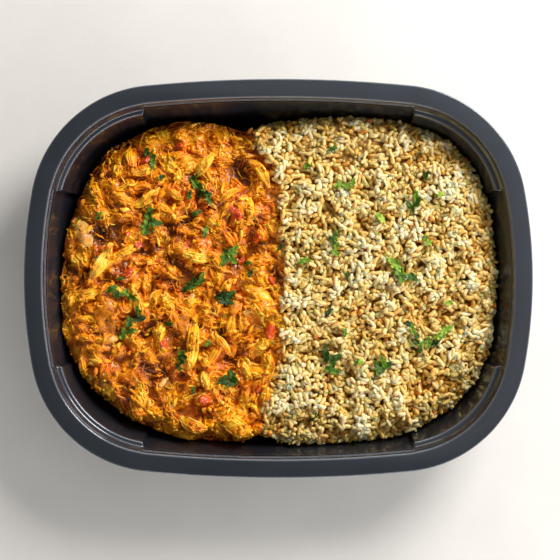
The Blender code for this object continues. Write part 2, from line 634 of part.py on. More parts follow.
def make_leaf(heap, ground, name, x, y, half_length, half_width, turn, lobes, collection, finish):
    """A thin wavy leaf, laid along the heap's slope and lifted until it is clear of every bump."""
    sides = 4 * lobes if lobes > 3 else 5 * lobes
    place_matrix = Matrix.Translation((x, y, 0.0)) @ Matrix.Rotation(math.radians(turn), 4, "Z")
    centre_height = heap.height(x, y)
    slope = slope_turn(heap, x, y, 0.0).to_3x3() @ Vector((0.0, 0.0, 1.0))
    plan = [(0.0, 0.0)]
    for step in range(sides):
        angle = 2 * math.pi * step / sides
        reach = leaf_reach(angle, half_length, half_width, lobes)
        plan.append((reach * math.cos(angle), reach * math.sin(angle)))
    lower = []
    for along, across in plan:
        spot = place_matrix @ Vector((along, across, 0.0))
        tilt = -(slope.x * (spot.x - x) + slope.y * (spot.y - y)) / slope.z
        wave = LEAF_WAVE * math.sin(1.1 * along + lobes) + LEAF_CUP * across * across
        lower.append(Vector((spot.x, spot.y, centre_height + tilt + wave)))
    lift = 0.0
    for step in range(sides):
        first, second = lower[step + 1], lower[(step + 1) % sides + 1]
        for one in range(PROBE_STEPS + 1):
            for two in range(PROBE_STEPS + 1 - one):
                share_one, share_two = one / PROBE_STEPS, two / PROBE_STEPS
                spot = lower[0] + (first - lower[0]) * share_one + (second - lower[0]) * share_two
                for dx, dy in ((0, 0), (1, 0), (-1, 0), (0, 1), (0, -1)):
                    above = Vector((spot.x + dx * PROBE_SPREAD, spot.y + dy * PROBE_SPREAD, ABOVE_THE_MEAL))
                    hit = ground.ray_cast(above * MM, Vector((0, 0, -1)))[0]
                    lift = max(lift, (hit.z / MM if hit else 0.0) - spot.z)
    shape = bmesh.new()
    layers = [
        [shape.verts.new(spot + Vector((0, 0, lift + GAP + rise))) for spot in lower] for rise in (0.0, LEAF_THICKNESS)
    ]
    for step in range(sides):
        here, after = step + 1, (step + 1) % sides + 1
        under, over = layers
        shape.faces.new((under[0], under[after], under[here]))
        shape.faces.new((over[0], over[here], over[after]))
        shape.faces.new((under[here], under[after], over[after]))
        shape.faces.new((under[here], over[after], over[here]))
    add_object(name, shape, collection, finish)


def main():
    for old in list(bpy.data.objects):
        bpy.data.objects.remove(old)
    meal = bpy.data.collections.new("tray_meal")
    library = bpy.data.collections.new("fused_pieces")
    bpy.context.scene.collection.children.link(meal)
    bpy.context.scene.collection.children.link(library)
    make_tray(meal, material("black_plastic", TRAY_COLOUR, 0.35))
    parsley = material("parsley", PARSLEY_COLOUR, 0.5)
    heaps = {}
    for maker, finish in (
        (make_curry, material("curry", CURRY_COLOUR, 0.3)),
        (make_rice, material("rice", RICE_COLOUR, 0.55)),
    ):
        heap, core = maker(meal, library, finish)
        shape = bmesh.new()
        shape.from_mesh(core.data)
        heaps[heap.name] = (heap, BVHTree.FromBMesh(shape))
        shape.free()
    for leaf in LEAVES:
        heap, ground = heaps[leaf[0].split("_")[1]]
        make_leaf(heap, ground, *leaf, meal, parsley)


main()
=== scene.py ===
import math

import bmesh
import bpy
import numpy as np
from mathutils import Matrix, Vector
from mathutils.bvhtree import BVHTree


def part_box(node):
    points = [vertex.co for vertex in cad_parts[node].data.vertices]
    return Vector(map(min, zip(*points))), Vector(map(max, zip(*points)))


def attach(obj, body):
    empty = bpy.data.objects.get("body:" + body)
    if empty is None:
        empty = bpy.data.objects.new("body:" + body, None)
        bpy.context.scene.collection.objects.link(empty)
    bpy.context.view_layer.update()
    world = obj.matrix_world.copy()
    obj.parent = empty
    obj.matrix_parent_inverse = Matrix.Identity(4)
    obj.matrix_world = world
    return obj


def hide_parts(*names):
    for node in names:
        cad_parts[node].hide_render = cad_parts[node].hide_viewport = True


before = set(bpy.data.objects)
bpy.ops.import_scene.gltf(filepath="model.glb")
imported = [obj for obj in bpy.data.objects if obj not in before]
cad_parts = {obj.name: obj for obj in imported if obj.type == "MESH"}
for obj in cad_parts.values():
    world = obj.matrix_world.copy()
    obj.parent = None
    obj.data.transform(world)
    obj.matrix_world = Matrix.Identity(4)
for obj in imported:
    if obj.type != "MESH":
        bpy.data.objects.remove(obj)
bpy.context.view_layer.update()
MM = 0.001


# The camera, the floor and the light.
# The camera looks straight down from well above, so that the tray's walls hardly lean. The floor is a pale
# matt board. A large soft light stands at the upper right and a wide dim one overhead. Low strip lights on
# the right draw thin bright lines along the tray's edges, and a pale surround fills the shadows.
PICTURE_SIDE = 249.5 * MM
CAMERA_ABOVE_RIM = 850 * MM
PICTURE_CENTRE = (0.7 * MM, -0.7 * MM)
KEY_DIRECTION = Vector((0.54, 0.62, 0.60))
TOP_DIRECTION = Vector((0.24, 0.18, 1.0))
STRIP_TURNS = (-85.0, -45.0, -5.0, 90.0)
STRIP_RISE = math.tan(math.radians(22.0))
STRIP_LENGTH = 0.65
STRIP_HEIGHT = 0.16
STRIP_WATTS = 3.0
SURROUND = (1.0, 0.97, 0.93)
SURROUND_STRENGTH = 0.16
FLOOR_COLOUR = (0.74, 0.73, 0.71, 1.0)
FLOOR_REACH = 3.0
FLOOR_GAP = 0.1 * MM

rim_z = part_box("tray")[1].z
lens = bpy.data.cameras.new("camera")
lens.sensor_width = 36.0
lens.lens = lens.sensor_width * CAMERA_ABOVE_RIM / PICTURE_SIDE
camera = bpy.data.objects.new("camera", lens)
camera.location = (*PICTURE_CENTRE, rim_z + CAMERA_ABOVE_RIM)
bpy.context.scene.collection.objects.link(camera)
bpy.context.scene.camera = camera
bpy.context.scene.view_settings.view_transform = "Standard"


def soft_light(name, direction, distance, length, height, watts, colour):
    """A rectangular area light that faces the tray."""
    light = bpy.data.lights.new(name, "AREA")
    light.shape = "RECTANGLE"
    light.size = length
    light.size_y = height
    light.energy = watts
    light.color = colour
    lamp = bpy.data.objects.new(name, light)
    lamp.location = direction.normalized() * distance
    lamp.rotation_euler = direction.to_track_quat("Z", "Y").to_euler()
    bpy.context.scene.collection.objects.link(lamp)


soft_light(
    "key_light", KEY_DIRECTION, distance=0.95, length=0.42, height=0.42, watts=11.7,
    colour=(1.0, 0.96, 0.91),
)
soft_light(
    "top_light", TOP_DIRECTION, distance=1.6, length=0.9, height=0.9, watts=0.9, colour=(0.96, 0.98, 1.0),
)
for turn in STRIP_TURNS:
    toward = Vector((math.cos(math.radians(turn)), math.sin(math.radians(turn)), STRIP_RISE))
    soft_light(
        "strip_light", toward, distance=1.0, length=STRIP_LENGTH, height=STRIP_HEIGHT, watts=STRIP_WATTS,
        colour=(1.0, 0.98, 0.96),
    )
world = bpy.data.worlds.new("surround")
world.use_nodes = True
world.node_tree.nodes["Background"].inputs["Color"].default_value = (*SURROUND, 1.0)
world.node_tree.nodes["Background"].inputs["Strength"].default_value = SURROUND_STRENGTH
bpy.context.scene.world = world


def join(tree, value, input_socket):
    """Links a node's output to a socket, or puts a plain value on it."""
    if isinstance(value, bpy.types.NodeSocket):
        tree.links.new(value, input_socket)
    else:
        input_socket.default_value = value


def new_material(name, colour, roughness, **settings):
    """A Principled material. Settings that are the same all over go on the shader's own sockets."""
    made = bpy.data.materials.new(name)
    made.use_nodes = True
    shader = made.node_tree.nodes["Principled BSDF"]
    shader.inputs["Base Color"].default_value = colour
    shader.inputs["Roughness"].default_value = roughness
    for label, value in settings.items():
        shader.inputs[label.replace("_", " ")].default_value = value
    return made, made.node_tree, shader


def add_node(tree, kind, **inputs):
    """A shader or geometry node with the given values on its inputs, by label."""
    node = tree.nodes.new(kind)
    for label, value in inputs.items():
        node.inputs[label.replace("_", " ")].default_value = value
    return node


def noise_value(tree, scale_mm, detail=3.0):
    """A noise's factor over Object coordinates, with features about scale_mm across."""
    place = tree.nodes.new("ShaderNodeTexCoord").outputs["Object"]
    texture = add_node(tree, "ShaderNodeTexNoise", Scale=1.0 / (scale_mm * MM), Detail=detail)
    join(tree, place, texture.inputs["Vector"])
    return texture.outputs["Fac"]


def ramp(tree, factor, *stops):
    """A colour ramp over factor, with stops of (position, colour)."""
    node = tree.nodes.new("ShaderNodeValToRGB")
    while len(node.color_ramp.elements) < len(stops):
        node.color_ramp.elements.new(0.5)
    for element, (position, colour) in zip(node.color_ramp.elements, stops):
        element.position = position
        element.color = (*colour, 1.0)
    join(tree, factor, node.inputs["Fac"])
    return node.outputs["Color"]


def grey(level):
    return (level, level, level)


def attribute_value(tree, name):
    node = tree.nodes.new("ShaderNodeAttribute")
    node.attribute_name = name
    return node.outputs["Fac"]


def mixed(tree, way, factor, first, second):
    """Two colours blended by factor. Each value is a plain one or another node's output."""
    node = tree.nodes.new("ShaderNodeMix")
    node.data_type = "RGBA"
    node.blend_type = way
    for label, value in (("Factor", factor), ("A", first), ("B", second)):
        join(tree, value, node.inputs[label])
    return node.outputs["Result"]


def add_bump(tree, shader, height, distance_mm):
    """Raises the surface's look by height, a factor from 0 to 1, over distance_mm."""
    bump = add_node(tree, "ShaderNodeBump", Strength=1.0, Distance=distance_mm * MM)
    join(tree, height, bump.inputs["Height"])
    join(tree, bump.outputs["Normal"], shader.inputs["Normal"])


def mesh_of(shape, name):
    """A mesh made from a bmesh, which is then freed."""
    mesh = bpy.data.meshes.new(name)
    shape.to_mesh(mesh)
    shape.free()
    return mesh


def set_values(mesh, label, values):
    """Gives each point of the mesh its number or vector under that label."""
    values = np.asarray(values, float)
    kind, field = ("FLOAT_VECTOR", "vector") if values.ndim == 2 else ("FLOAT", "value")
    mesh.attributes.new(label, kind, "POINT").data.foreach_set(field, values.ravel())


def new_object(name, mesh):
    made = bpy.data.objects.new(name, mesh)
    bpy.context.scene.collection.objects.link(made)
    return made


floor_finish, tree, shader = new_material("pale_board", FLOOR_COLOUR, 0.85)
tone = ramp(tree, noise_value(tree, 35.0), (0.3, (0.72, 0.71, 0.69)), (0.7, (0.76, 0.75, 0.73)))
join(tree, tone, shader.inputs["Base Color"])
add_bump(tree, shader, noise_value(tree, 1.2, 6.0), 0.05)
floor_shape = bmesh.new()
bmesh.ops.create_grid(floor_shape, x_segments=1, y_segments=1, size=FLOOR_REACH)
bmesh.ops.translate(floor_shape, verts=floor_shape.verts, vec=(0.0, 0.0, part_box("tray")[0].z - FLOOR_GAP))
floor_mesh = mesh_of(floor_shape, "floor")
floor_mesh.materials.append(floor_finish)
new_object("floor", floor_mesh)


# The tray.
# One sheet of black plastic, drawn down into a mould while warm: a flange with a turned-down lip, a small
# step, corner ledges that let empty trays stack apart, sloping walls and a raised panel. Its upper face is a
# loft round eight tangent arcs, paler at its rounded edges, partly as stretched plastic and partly as a
# painted highlight, and Solidify gives the sheet its thickness.
LONG_SIDE_RADIUS = 606.0
SHORT_SIDE_RADIUS = 216.0
CORNER_RADIUS = 57.5
SHEET_THICKNESS = 0.8
LIP_DEPTH = 1.7
FLANGE_INNER = 8.2
WALL_TOP_INSET = 9.0
WALL_TOP_DEPTH = 2.0
WALL_FOOT = 5.0
WALL_DRAFT = math.tan(math.radians(14.0))
PANEL_RISE = 1.0
LEDGE_DEPTH = 5.0
LEDGE_INSET = 12.6
LEDGE_STARTS = (12.0, 14.0)
LEDGE_ENDS = (80.0, 82.0)
EDGE_ROUND = 0.9
# The rounded edges' paler colour: partly stretched plastic, partly a painted highlight.
PALE_EDGE_AND_HIGHLIGHT_COLOUR = (0.085, 0.090, 0.100, 1.0)
ARC_STEPS = 6

half_length, half_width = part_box("tray")[1].x / MM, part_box("tray")[1].y / MM
height_mm = rim_z / MM


def smooth_step(low, high, value):
    share = np.clip((value - low) / (high - low), 0.0, 1.0)
    return share * share * (3.0 - 2.0 * share)


def corner_arc_centre():
    """Where the corner arc's centre lies, so that it is tangent to both side arcs."""
    long_centre = Vector((0.0, half_width - LONG_SIDE_RADIUS))
    short_centre = Vector((half_length - SHORT_SIDE_RADIUS, 0.0))
    from_long, from_short = LONG_SIDE_RADIUS - CORNER_RADIUS, SHORT_SIDE_RADIUS - CORNER_RADIUS
    between = short_centre - long_centre
    along = (from_long**2 - from_short**2 + between.length_squared) / (2 * between.length)
    across = math.sqrt(from_long**2 - along**2)
    direction = between.normalized()
    return long_centre + direction * along + Vector((direction.y, -direction.x)) * across


corner_centre = corner_arc_centre()
corner_from = math.degrees(math.atan2(corner_centre.y, corner_centre.x - half_length + SHORT_SIDE_RADIUS))
corner_to = math.degrees(math.atan2(corner_centre.y - half_width + LONG_SIDE_RADIUS, corner_centre.x))


def in_first_quarter(degrees):
    """Directions mirrored into the first quarter of the circle, since the tray's four quarters are alike."""
    turn = np.radians(degrees)
    return np.degrees(np.arctan2(np.abs(np.sin(turn)), np.abs(np.cos(turn))))


def outline(degrees, inset):
    """Points of the tray's outline with outward directions degrees, moved in by inset: x and y arrays."""
    turn = np.radians(degrees)
    folded = in_first_quarter(degrees)
    on_short, on_long = folded < corner_from, folded > corner_to
    centre_x = np.where(on_short, half_length - SHORT_SIDE_RADIUS, np.where(on_long, 0.0, corner_centre.x))
    centre_y = np.where(on_long, half_width - LONG_SIDE_RADIUS, np.where(on_short, 0.0, corner_centre.y))
    radius = np.where(on_short, SHORT_SIDE_RADIUS, np.where(on_long, LONG_SIDE_RADIUS, CORNER_RADIUS))
    x = centre_x + (radius - inset) * np.abs(np.cos(turn))
    y = centre_y + (radius - inset) * np.abs(np.sin(turn))
    return np.copysign(x, np.cos(turn)), np.copysign(y, np.sin(turn))


def corner_share(degrees):
    """1 along a corner's stacking ledge, 0 along a side."""
    folded = in_first_quarter(degrees)
    return smooth_step(*LEDGE_STARTS, folded) * (1.0 - smooth_step(*LEDGE_ENDS, folded))


def tray_section():
    """(side inset, side height, corner inset, corner height, rounding) from lip to floor."""
    ledge_z = height_mm - LEDGE_DEPTH
    wall_top = height_mm - WALL_TOP_DEPTH
    foot = WALL_TOP_INSET + (wall_top - WALL_FOOT) * WALL_DRAFT
    side = WALL_TOP_INSET + (wall_top - ledge_z) * WALL_DRAFT
    return np.array((
        (0.0, height_mm - LIP_DEPTH, 0.0, height_mm - LIP_DEPTH, 0.1),
        (0.0, height_mm, 0.0, height_mm, EDGE_ROUND),
        (FLANGE_INNER, height_mm, FLANGE_INNER + 0.2, height_mm, EDGE_ROUND),
        (FLANGE_INNER + 0.6, height_mm - 1.9, FLANGE_INNER + 0.7, height_mm - 1.9, 0.3),
        (WALL_TOP_INSET + 0.5, wall_top - 0.2, FLANGE_INNER + 0.9, wall_top - 0.6, 0.4),
        (side, ledge_z, FLANGE_INNER + 2.2, ledge_z, 1.5),
        (side + 0.1, ledge_z - 0.4, LEDGE_INSET - 0.3, ledge_z - 0.05, EDGE_ROUND),
        (side + 0.4, ledge_z - 1.6, LEDGE_INSET + 0.3, ledge_z - 1.6, 0.4),
        (foot, WALL_FOOT, foot + 1.4, WALL_FOOT, 2.0),
        (foot + 1.6, 2.0, foot + 2.6, 2.0, 1.5),
        (foot + 4.3, SHEET_THICKNESS, foot + 5.0, SHEET_THICKNESS, 2.0),
        (foot + 10.0, SHEET_THICKNESS, foot + 10.0, SHEET_THICKNESS, 1.0),
        (foot + 11.5, SHEET_THICKNESS + PANEL_RISE, foot + 11.5, SHEET_THICKNESS + PANEL_RISE, 1.0),
        (foot + 20.0, SHEET_THICKNESS + PANEL_RISE, foot + 20.0, SHEET_THICKNESS + PANEL_RISE, 0.1),
    ))


def rounded(section, rounding):
    """The section with its inner points made short arcs, and how far into a bright edge each point lies."""
    points, bent = [section[0]], [0.0]
    for before, here, after, radius in zip(section, section[1:], section[2:], rounding[1:]):
        back, ahead = before - here, after - here
        cut = min(radius, 0.45 * np.linalg.norm(back), 0.45 * np.linalg.norm(ahead))
        start = here + back / np.linalg.norm(back) * cut
        end = here + ahead / np.linalg.norm(ahead) * cut
        for step in range(ARC_STEPS + 1):
            t = step / ARC_STEPS
            points.append((1 - t) ** 2 * start + 2 * t * (1 - t) * here + t * t * end)
            bent.append(math.sin(math.pi * t) if radius == EDGE_ROUND else 0.0)
    points.append(section[-1])
    return np.array(points), bent + [0.0]


def loft_tray():
    quarter = np.unique(np.round(np.concatenate((
        np.linspace(0.0, corner_from, 8), np.linspace(corner_from, corner_to, 56),
        np.linspace(*LEDGE_STARTS, 9), np.linspace(*LEDGE_ENDS, 9), np.linspace(corner_to, 90.0, 8)[:-1],
    )), 4))
    half = np.concatenate((quarter, [90.0], 180.0 - quarter[:0:-1]))
    around = np.concatenate((half, half + 180.0))
    base = tray_section()
    verts, edges = [], []
    for degrees in around:
        share = corner_share(degrees)
        section = base[:, 0:2] * (1.0 - share) + base[:, 2:4] * share
        column, bent = rounded(section, base[:, 4])
        edges += bent
        x, y = outline(np.full(len(column), degrees), column[:, 0])
        verts.append(np.column_stack((x, y, column[:, 1])))
    levels = len(verts[0])
    columns = len(verts)
    faces = []
    for column in range(columns):
        after = (column + 1) % columns
        for level in range(levels - 1):
            here, beside = column * levels + level, after * levels + level
            faces.append((here, beside, beside + 1, here + 1))
    faces.append([column * levels + levels - 1 for column in range(columns)])
    mesh = bpy.data.meshes.new("tray_shell")
    mesh.from_pydata((np.concatenate(verts) * MM).tolist(), [], faces)
    set_values(mesh, "edge", edges)
    return mesh


tray_finish, tree, shader = new_material(
    "black_plastic", (0.015, 0.017, 0.026, 1.0), 0.42, Specular_IOR_Level=0.55, Coat_Weight=1.0,
    Coat_Roughness=0.13, Coat_IOR=1.62, Specular_Tint=(0.62, 0.78, 1.0, 1.0),
    Coat_Tint=(0.92, 0.95, 1.0, 1.0),
)
wear = noise_value(tree, 14.0, 5.0)
join(tree, ramp(tree, wear, (0.3, grey(0.38)), (0.7, grey(0.48))), shader.inputs["Roughness"])
pale_edge_and_highlight = ramp(tree, attribute_value(tree, "edge"), (0.0, grey(0.0)), (1.0, grey(1.0)))
cloudy = noise_value(tree, 40.0, 2.0)
black = ramp(tree, cloudy, (0.35, (0.010, 0.011, 0.014)), (0.65, (0.014, 0.016, 0.020)))
# Painted highlight: the rounded edges are coloured paler, partly as stretched plastic and partly to stand
# for the thin bright lines of light that they reflect.
join(tree, mixed(tree, "MIX", pale_edge_and_highlight, black, PALE_EDGE_AND_HIGHLIGHT_COLOUR), shader.inputs["Base Color"])
add_bump(tree, shader, noise_value(tree, 0.55, 3.0), 0.010)
tray_mesh = loft_tray()
tray_mesh.materials.append(tray_finish)
tray = new_object("tray_shell", tray_mesh)
tray_mesh.shade_smooth()
sheet = tray.modifiers.new("sheet", "SOLIDIFY")
sheet.thickness = SHEET_THICKNESS * MM
sheet.offset = -1.0
sheet.use_even_offset = True
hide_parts("tray")
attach(tray, "root")


def search_tree(mesh):
    """A search tree over a mesh's faces."""
    shape = bmesh.new()
    shape.from_mesh(mesh)
    found = BVHTree.FromBMesh(shape)
    shape.free()
    return found


tray_tree = search_tree(tray_mesh)


def clear_of_tray(x, y, z, radius):
    """How far, in millimetres, a ball there has to move to lie inside the tray."""
    place = Vector((x, y, z)) * MM
    nearest, outward = tray_tree.find_nearest(place)[:2]
    lacking = radius - (place - nearest).dot(outward) / MM
    return np.array(outward) * max(0.0, lacking)


# The rice.
# Cooked brown rice, heaped on the right over a bed of packed grains, coloured darker as painted shade in the
# gaps. The loose grains are dropped one by one onto a grid of heights, each resting on what lies below it,
# so that they jumble as real ones do, and Geometry Nodes set the three kinds of grain on the points where
# they came to rest. Grains deep in the heap or low in its clumps are tinted darker, high ones paler: painted
# shade and light.
GRAIN_LENGTH = 4.8
GRAIN_WIDTH = 2.02
GRAIN_COUNT = 5700
SIDE_GRAIN_COUNT = 680
GRAIN_LUMPINESS = 0.55
ANY_TURN = (0.0, 6.28)
DROP_TRIES = 5
MEAN_SIZE = 0.98
LENGTH_SPREAD = 0.13
WIDTH_SPREAD = 0.10
REST_POINTS = 5
REST_REACH = 0.4
REST_SLOPE = 0.9
SLOPE_SPREAD = 0.28
UPRIGHT_SHARE = 0.6
UPRIGHT_TILT = (0.35, 1.05)
GRAIN_SINK = 0.6
EDGE_FALL = 1.5
MOST_ABOVE = 1.0
UPRIGHT_DROP = 0.35
FIRST_LAYER = 1.2
TINT = 0.92
TINT_RANGE = 0.44
TINT_POWER = 1.3
# Painted shade: how much darker and more golden a grain is tinted per millimetre it rests below the top.
DEPTH_SHADE_TINT = 0.22
SIDE_STEEPNESS = 0.75
SIDE_FOOT = 7.0
SIDE_GAP = 2.2
SIDE_SINK = 1.2
SIDE_TILT = 0.25
SIDE_MEAN_LENGTH = 0.95
SIDE_LENGTH_SPREAD = 0.08
SIDE_WIDTH_SPREAD = 0.07
SIDE_CLEARANCE = 0.7
CLUMP_RISE = 7.5
# Painted light and shade: how much paler the clumps' high parts and darker their low parts are tinted.
CLUMP_LIGHT_AND_SHADE_TINT = 0.9
BIG_CLUMP = 8.0
SMALL_CLUMP = 3.4
EDGE_DROP = 3.0
FAR_EDGE_DROP = 3.0
FAR_EDGE = (30.0, 70.0)
SEAM_RISE = 2.6
SEAM_PASSES = 50
SEAM_RAGGEDNESS = 4.5
GRID_CELL = 0.5
BED_DEPTH = 3.4
BED_INSET = 1.6
BED_FOOT = 4.0
BED_SIDE_SHARE = 0.35
RICE_SEED = 11
MERGE_REACH = 0.00001
GRAIN_KINDS = (
    ("rice_grains_straight", 1.0, 1.0, 0.03, 0.40),
    ("rice_grains_bent", 0.97, 0.94, 0.12, 0.38),
    ("rice_grains_split", 0.80, 1.15, -0.05, 0.22),
)


def lattice(column, row, seed):
    """A repeatable random value from 0 to 1 at each whole column and row."""
    jumbled = (column * 374761393 + row * 668265263 + seed * 2246822519) & 0xFFFFFFFF
    jumbled = ((jumbled ^ (jumbled >> 13)) * 1274126177) & 0xFFFFFFFF
    return ((jumbled ^ (jumbled >> 16)) & 0xFFFF) / 65535.0


def wavy(x, y, seed):
    """Smooth noise from 0 to 1 over x and y, with features one unit across."""
    column, row = np.floor(x).astype(np.int64), np.floor(y).astype(np.int64)
    across, up = x - column, y - row
    across = across * across * (3.0 - 2.0 * across)
    up = up * up * (3.0 - 2.0 * up)
    low = lattice(column, row, seed) * (1 - across) + lattice(column + 1, row, seed) * across
    high = lattice(column, row + 1, seed) * (1 - across) + lattice(column + 1, row + 1, seed) * across
    return low * (1 - up) + high * up


def evened(values):
    """A grid's values, each a little nearer to its neighbours'."""
    for axis in (0, 1):
        values = (np.roll(values, 1, axis) + 2 * values + np.roll(values, -1, axis)) / 4
    return values


class Heights:
    """Heights in millimetres over a grid, as a search tree shows them from above. Outside, they are NaN."""

    def __init__(self, solid, low, high, cell):
        self.cell = cell
        self.low = np.array((low.x, low.y)) / MM - cell
        columns, rows = (int((high[axis] - low[axis]) / MM / cell) + 3 for axis in (0, 1))
        self.z = np.full((rows, columns), np.nan)
        for row in range(rows):
            for column in range(columns):
                x, y = self.low + np.array((column, row)) * cell
                hit = solid.ray_cast(Vector((x * MM, y * MM, 1.0)), Vector((0.0, 0.0, -1.0)))[0]
                if hit:
                    self.z[row, column] = hit.z / MM
        self.inside = ~np.isnan(self.z)

    def blurred(self, passes):
        """A copy whose heights are evened out with their neighbours'."""
        filled = np.where(self.inside, self.z, 0.0)
        weight = self.inside.astype(float)
        for _ in range(passes):
            filled, weight = evened(filled), evened(weight)
        copy = object.__new__(Heights)
        copy.cell, copy.low, copy.inside = self.cell, self.low, self.inside.copy()
        copy.z = np.where(weight > 1e-3, filled / np.maximum(weight, 1e-3), np.nan)
        return copy

    def cells(self, x, y):
        column = np.clip(np.round((x - self.low[0]) / self.cell).astype(int), 0, self.z.shape[1] - 1)
        row = np.clip(np.round((y - self.low[1]) / self.cell).astype(int), 0, self.z.shape[0] - 1)
        return row, column

    def at(self, x, y):
        return self.z[self.cells(x, y)]

    def within(self, x, y):
        return self.inside[self.cells(x, y)]

    def smooth_at(self, x, y):
        """Heights read between the grid's points."""
        across = np.clip((x - self.low[0]) / self.cell, 0, self.z.shape[1] - 1.001)
        up = np.clip((y - self.low[1]) / self.cell, 0, self.z.shape[0] - 1.001)
        column, row = across.astype(int), up.astype(int)
        across, up = across - column, up - row
        low = self.z[row, column] * (1 - across) + self.z[row, column + 1] * across
        high = self.z[row + 1, column] * (1 - across) + self.z[row + 1, column + 1] * across
        return low * (1 - up) + high * up

    def patch(self, x, y, reach):
        """The grid's rows and columns within reach of a point, and how far they lie from it."""
        column, row = (x - self.low[0]) / self.cell, (y - self.low[1]) / self.cell
        span = reach / self.cell
        rows = slice(max(0, int(row - span)), min(self.z.shape[0], int(row + span) + 2))
        columns = slice(max(0, int(column - span)), min(self.z.shape[1], int(column + span) + 2))
        dy, dx = np.mgrid[rows, columns]
        return rows, columns, (dx - column) * self.cell, (dy - row) * self.cell


def drop_grains(pile, target, clumps, count, random):
    """Rests grains on the pile where it is lowest against target: place, turn, size and tone of each."""
    rows, columns = np.nonzero(target.inside)
    found = []
    for _ in range(count):
        picks = random.integers(len(rows), size=DROP_TRIES)
        x = target.low[0] + (columns[picks] + random.uniform(-0.5, 0.5, DROP_TRIES)) * target.cell
        y = target.low[1] + (rows[picks] + random.uniform(-0.5, 0.5, DROP_TRIES)) * target.cell
        best = np.argmax(target.at(x, y) - pile.at(x, y))
        x, y = x[best], y[best]
        grain = random.normal(MEAN_SIZE, LENGTH_SPREAD)
        length, radius = GRAIN_LENGTH * grain, GRAIN_WIDTH * random.normal(MEAN_SIZE, WIDTH_SPREAD) / 2
        yaw = random.uniform(0.0, 2 * math.pi)
        along = np.linspace(-REST_REACH, REST_REACH, REST_POINTS) * length
        below = pile.at(x + along * math.cos(yaw), y + along * math.sin(yaw))
        below = np.where(np.isnan(below), pile.at(x, y) - EDGE_FALL, below)
        rise = (below[-1] - below[0]) / (2 * REST_REACH * length) + random.normal(0.0, SLOPE_SPREAD)
        pitch = math.atan(max(-REST_SLOPE, min(REST_SLOPE, rise)))
        if random.random() < UPRIGHT_SHARE:
            pitch += random.choice((-1.0, 1.0)) * random.uniform(*UPRIGHT_TILT)
        reach = along[-1] * math.cos(pitch)
        fall = np.linspace(-reach, reach, REST_POINTS) * math.tan(pitch)
        z = (below - fall).max() + radius * GRAIN_SINK
        most = target.at(x, y) + MOST_ABOVE - UPRIGHT_DROP * length * abs(math.sin(pitch))
        z = min(z, most)
        for end in (-REST_REACH * length, REST_REACH * length):
            end_x = x + end * math.cos(pitch) * math.cos(yaw)
            end_y = y + end * math.cos(pitch) * math.sin(yaw)
            x, y, z = np.array((x, y, z)) + clear_of_tray(end_x, end_y, z + end * math.sin(pitch), radius)
        rows_near, columns_near, dx, dy = pile.patch(x, y, length / 2)
        u = (dx * math.cos(yaw) + dy * math.sin(yaw)) / (length / 2 * math.cos(pitch))
        v = (dy * math.cos(yaw) - dx * math.sin(yaw)) / radius
        dome = 1.0 - u * u - v * v
        top = z + u * length / 2 * math.sin(pitch) + radius * np.sqrt(np.maximum(dome, 0.0))
        near = pile.z[rows_near, columns_near]
        pile.z[rows_near, columns_near] = np.where(dome > 0.0, np.fmax(near, top), near)
        tint = TINT - TINT_RANGE * random.uniform(0.0, 1.0) ** TINT_POWER
        # Painted shade and light: a grain resting deeper below the heap's top, or on a low part of the
        # clumps, is tinted darker and more golden, and one on a high part of the clumps paler.
        tint += DEPTH_SHADE_TINT * (z - most) + CLUMP_LIGHT_AND_SHADE_TINT * (clumps[target.cells(x, y)] - 0.5)
        roll = random.uniform(*ANY_TURN)
        found.append((x, y, z, roll, -pitch, yaw, grain, radius * 2 / GRAIN_WIDTH, tint))
    return found


def side_grains(node, others, count, random):
    """Grains that lie against the heap's steep sides, where those can be seen."""
    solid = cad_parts[node].data
    solid.calc_loop_triangles()
    steep = []
    for face in solid.loop_triangles:
        middle = sum((solid.vertices[index].co for index in face.vertices), Vector()) / 3
        if abs(face.normal.z) < SIDE_STEEPNESS and middle.z > SIDE_FOOT * MM:
            steep.append((face, face.area))
    areas = np.array([area for _, area in steep])
    found = []
    for pick in random.choice(len(steep), size=count, p=areas / areas.sum()):
        face = steep[pick][0]
        corners = [solid.vertices[index].co for index in face.vertices]
        s, t = sorted(random.uniform(0, 1, 2))
        place = corners[0] * s + corners[1] * (t - s) + corners[2] * (1 - t)
        outward = face.normal.copy()
        if others.find_nearest(place)[3] < SIDE_GAP * MM:
            continue
        place = place - outward * SIDE_SINK * MM
        turn = outward.to_track_quat("Z", "Y").to_matrix()
        turn = turn @ Matrix.Rotation(random.uniform(*ANY_TURN), 3, "Z")
        turn = turn @ Matrix.Rotation(random.normal(0, SIDE_TILT), 3, "Y")
        euler = turn.to_euler()
        length = random.normal(SIDE_MEAN_LENGTH, SIDE_LENGTH_SPREAD)
        place = np.array(place / MM)
        place += clear_of_tray(*place, SIDE_CLEARANCE * GRAIN_WIDTH)
        width, tint = random.normal(1.0, SIDE_WIDTH_SPREAD), random.uniform(0, 1)
        found.append((*place, *euler, length, width, tint))
    return found


def socket(tree, name, kind, way="INPUT", value=None):
    made = tree.interface.new_socket(name=name, in_out=way, socket_type=kind)
    if value is not None:
        made.default_value = value


def math_node(tree, operation, *values):
    """A Math node's result. Each value is a number or another node's output."""
    node = tree.nodes.new("ShaderNodeMath")
    node.operation = operation
    for place, value in enumerate(values):
        join(tree, value, node.inputs[place])
    return node.outputs[0]


def named(tree, name, kind):
    node = tree.nodes.new("GeometryNodeInputNamedAttribute")
    node.data_type = kind
    node.inputs["Name"].default_value = name
    return node.outputs["Attribute"]


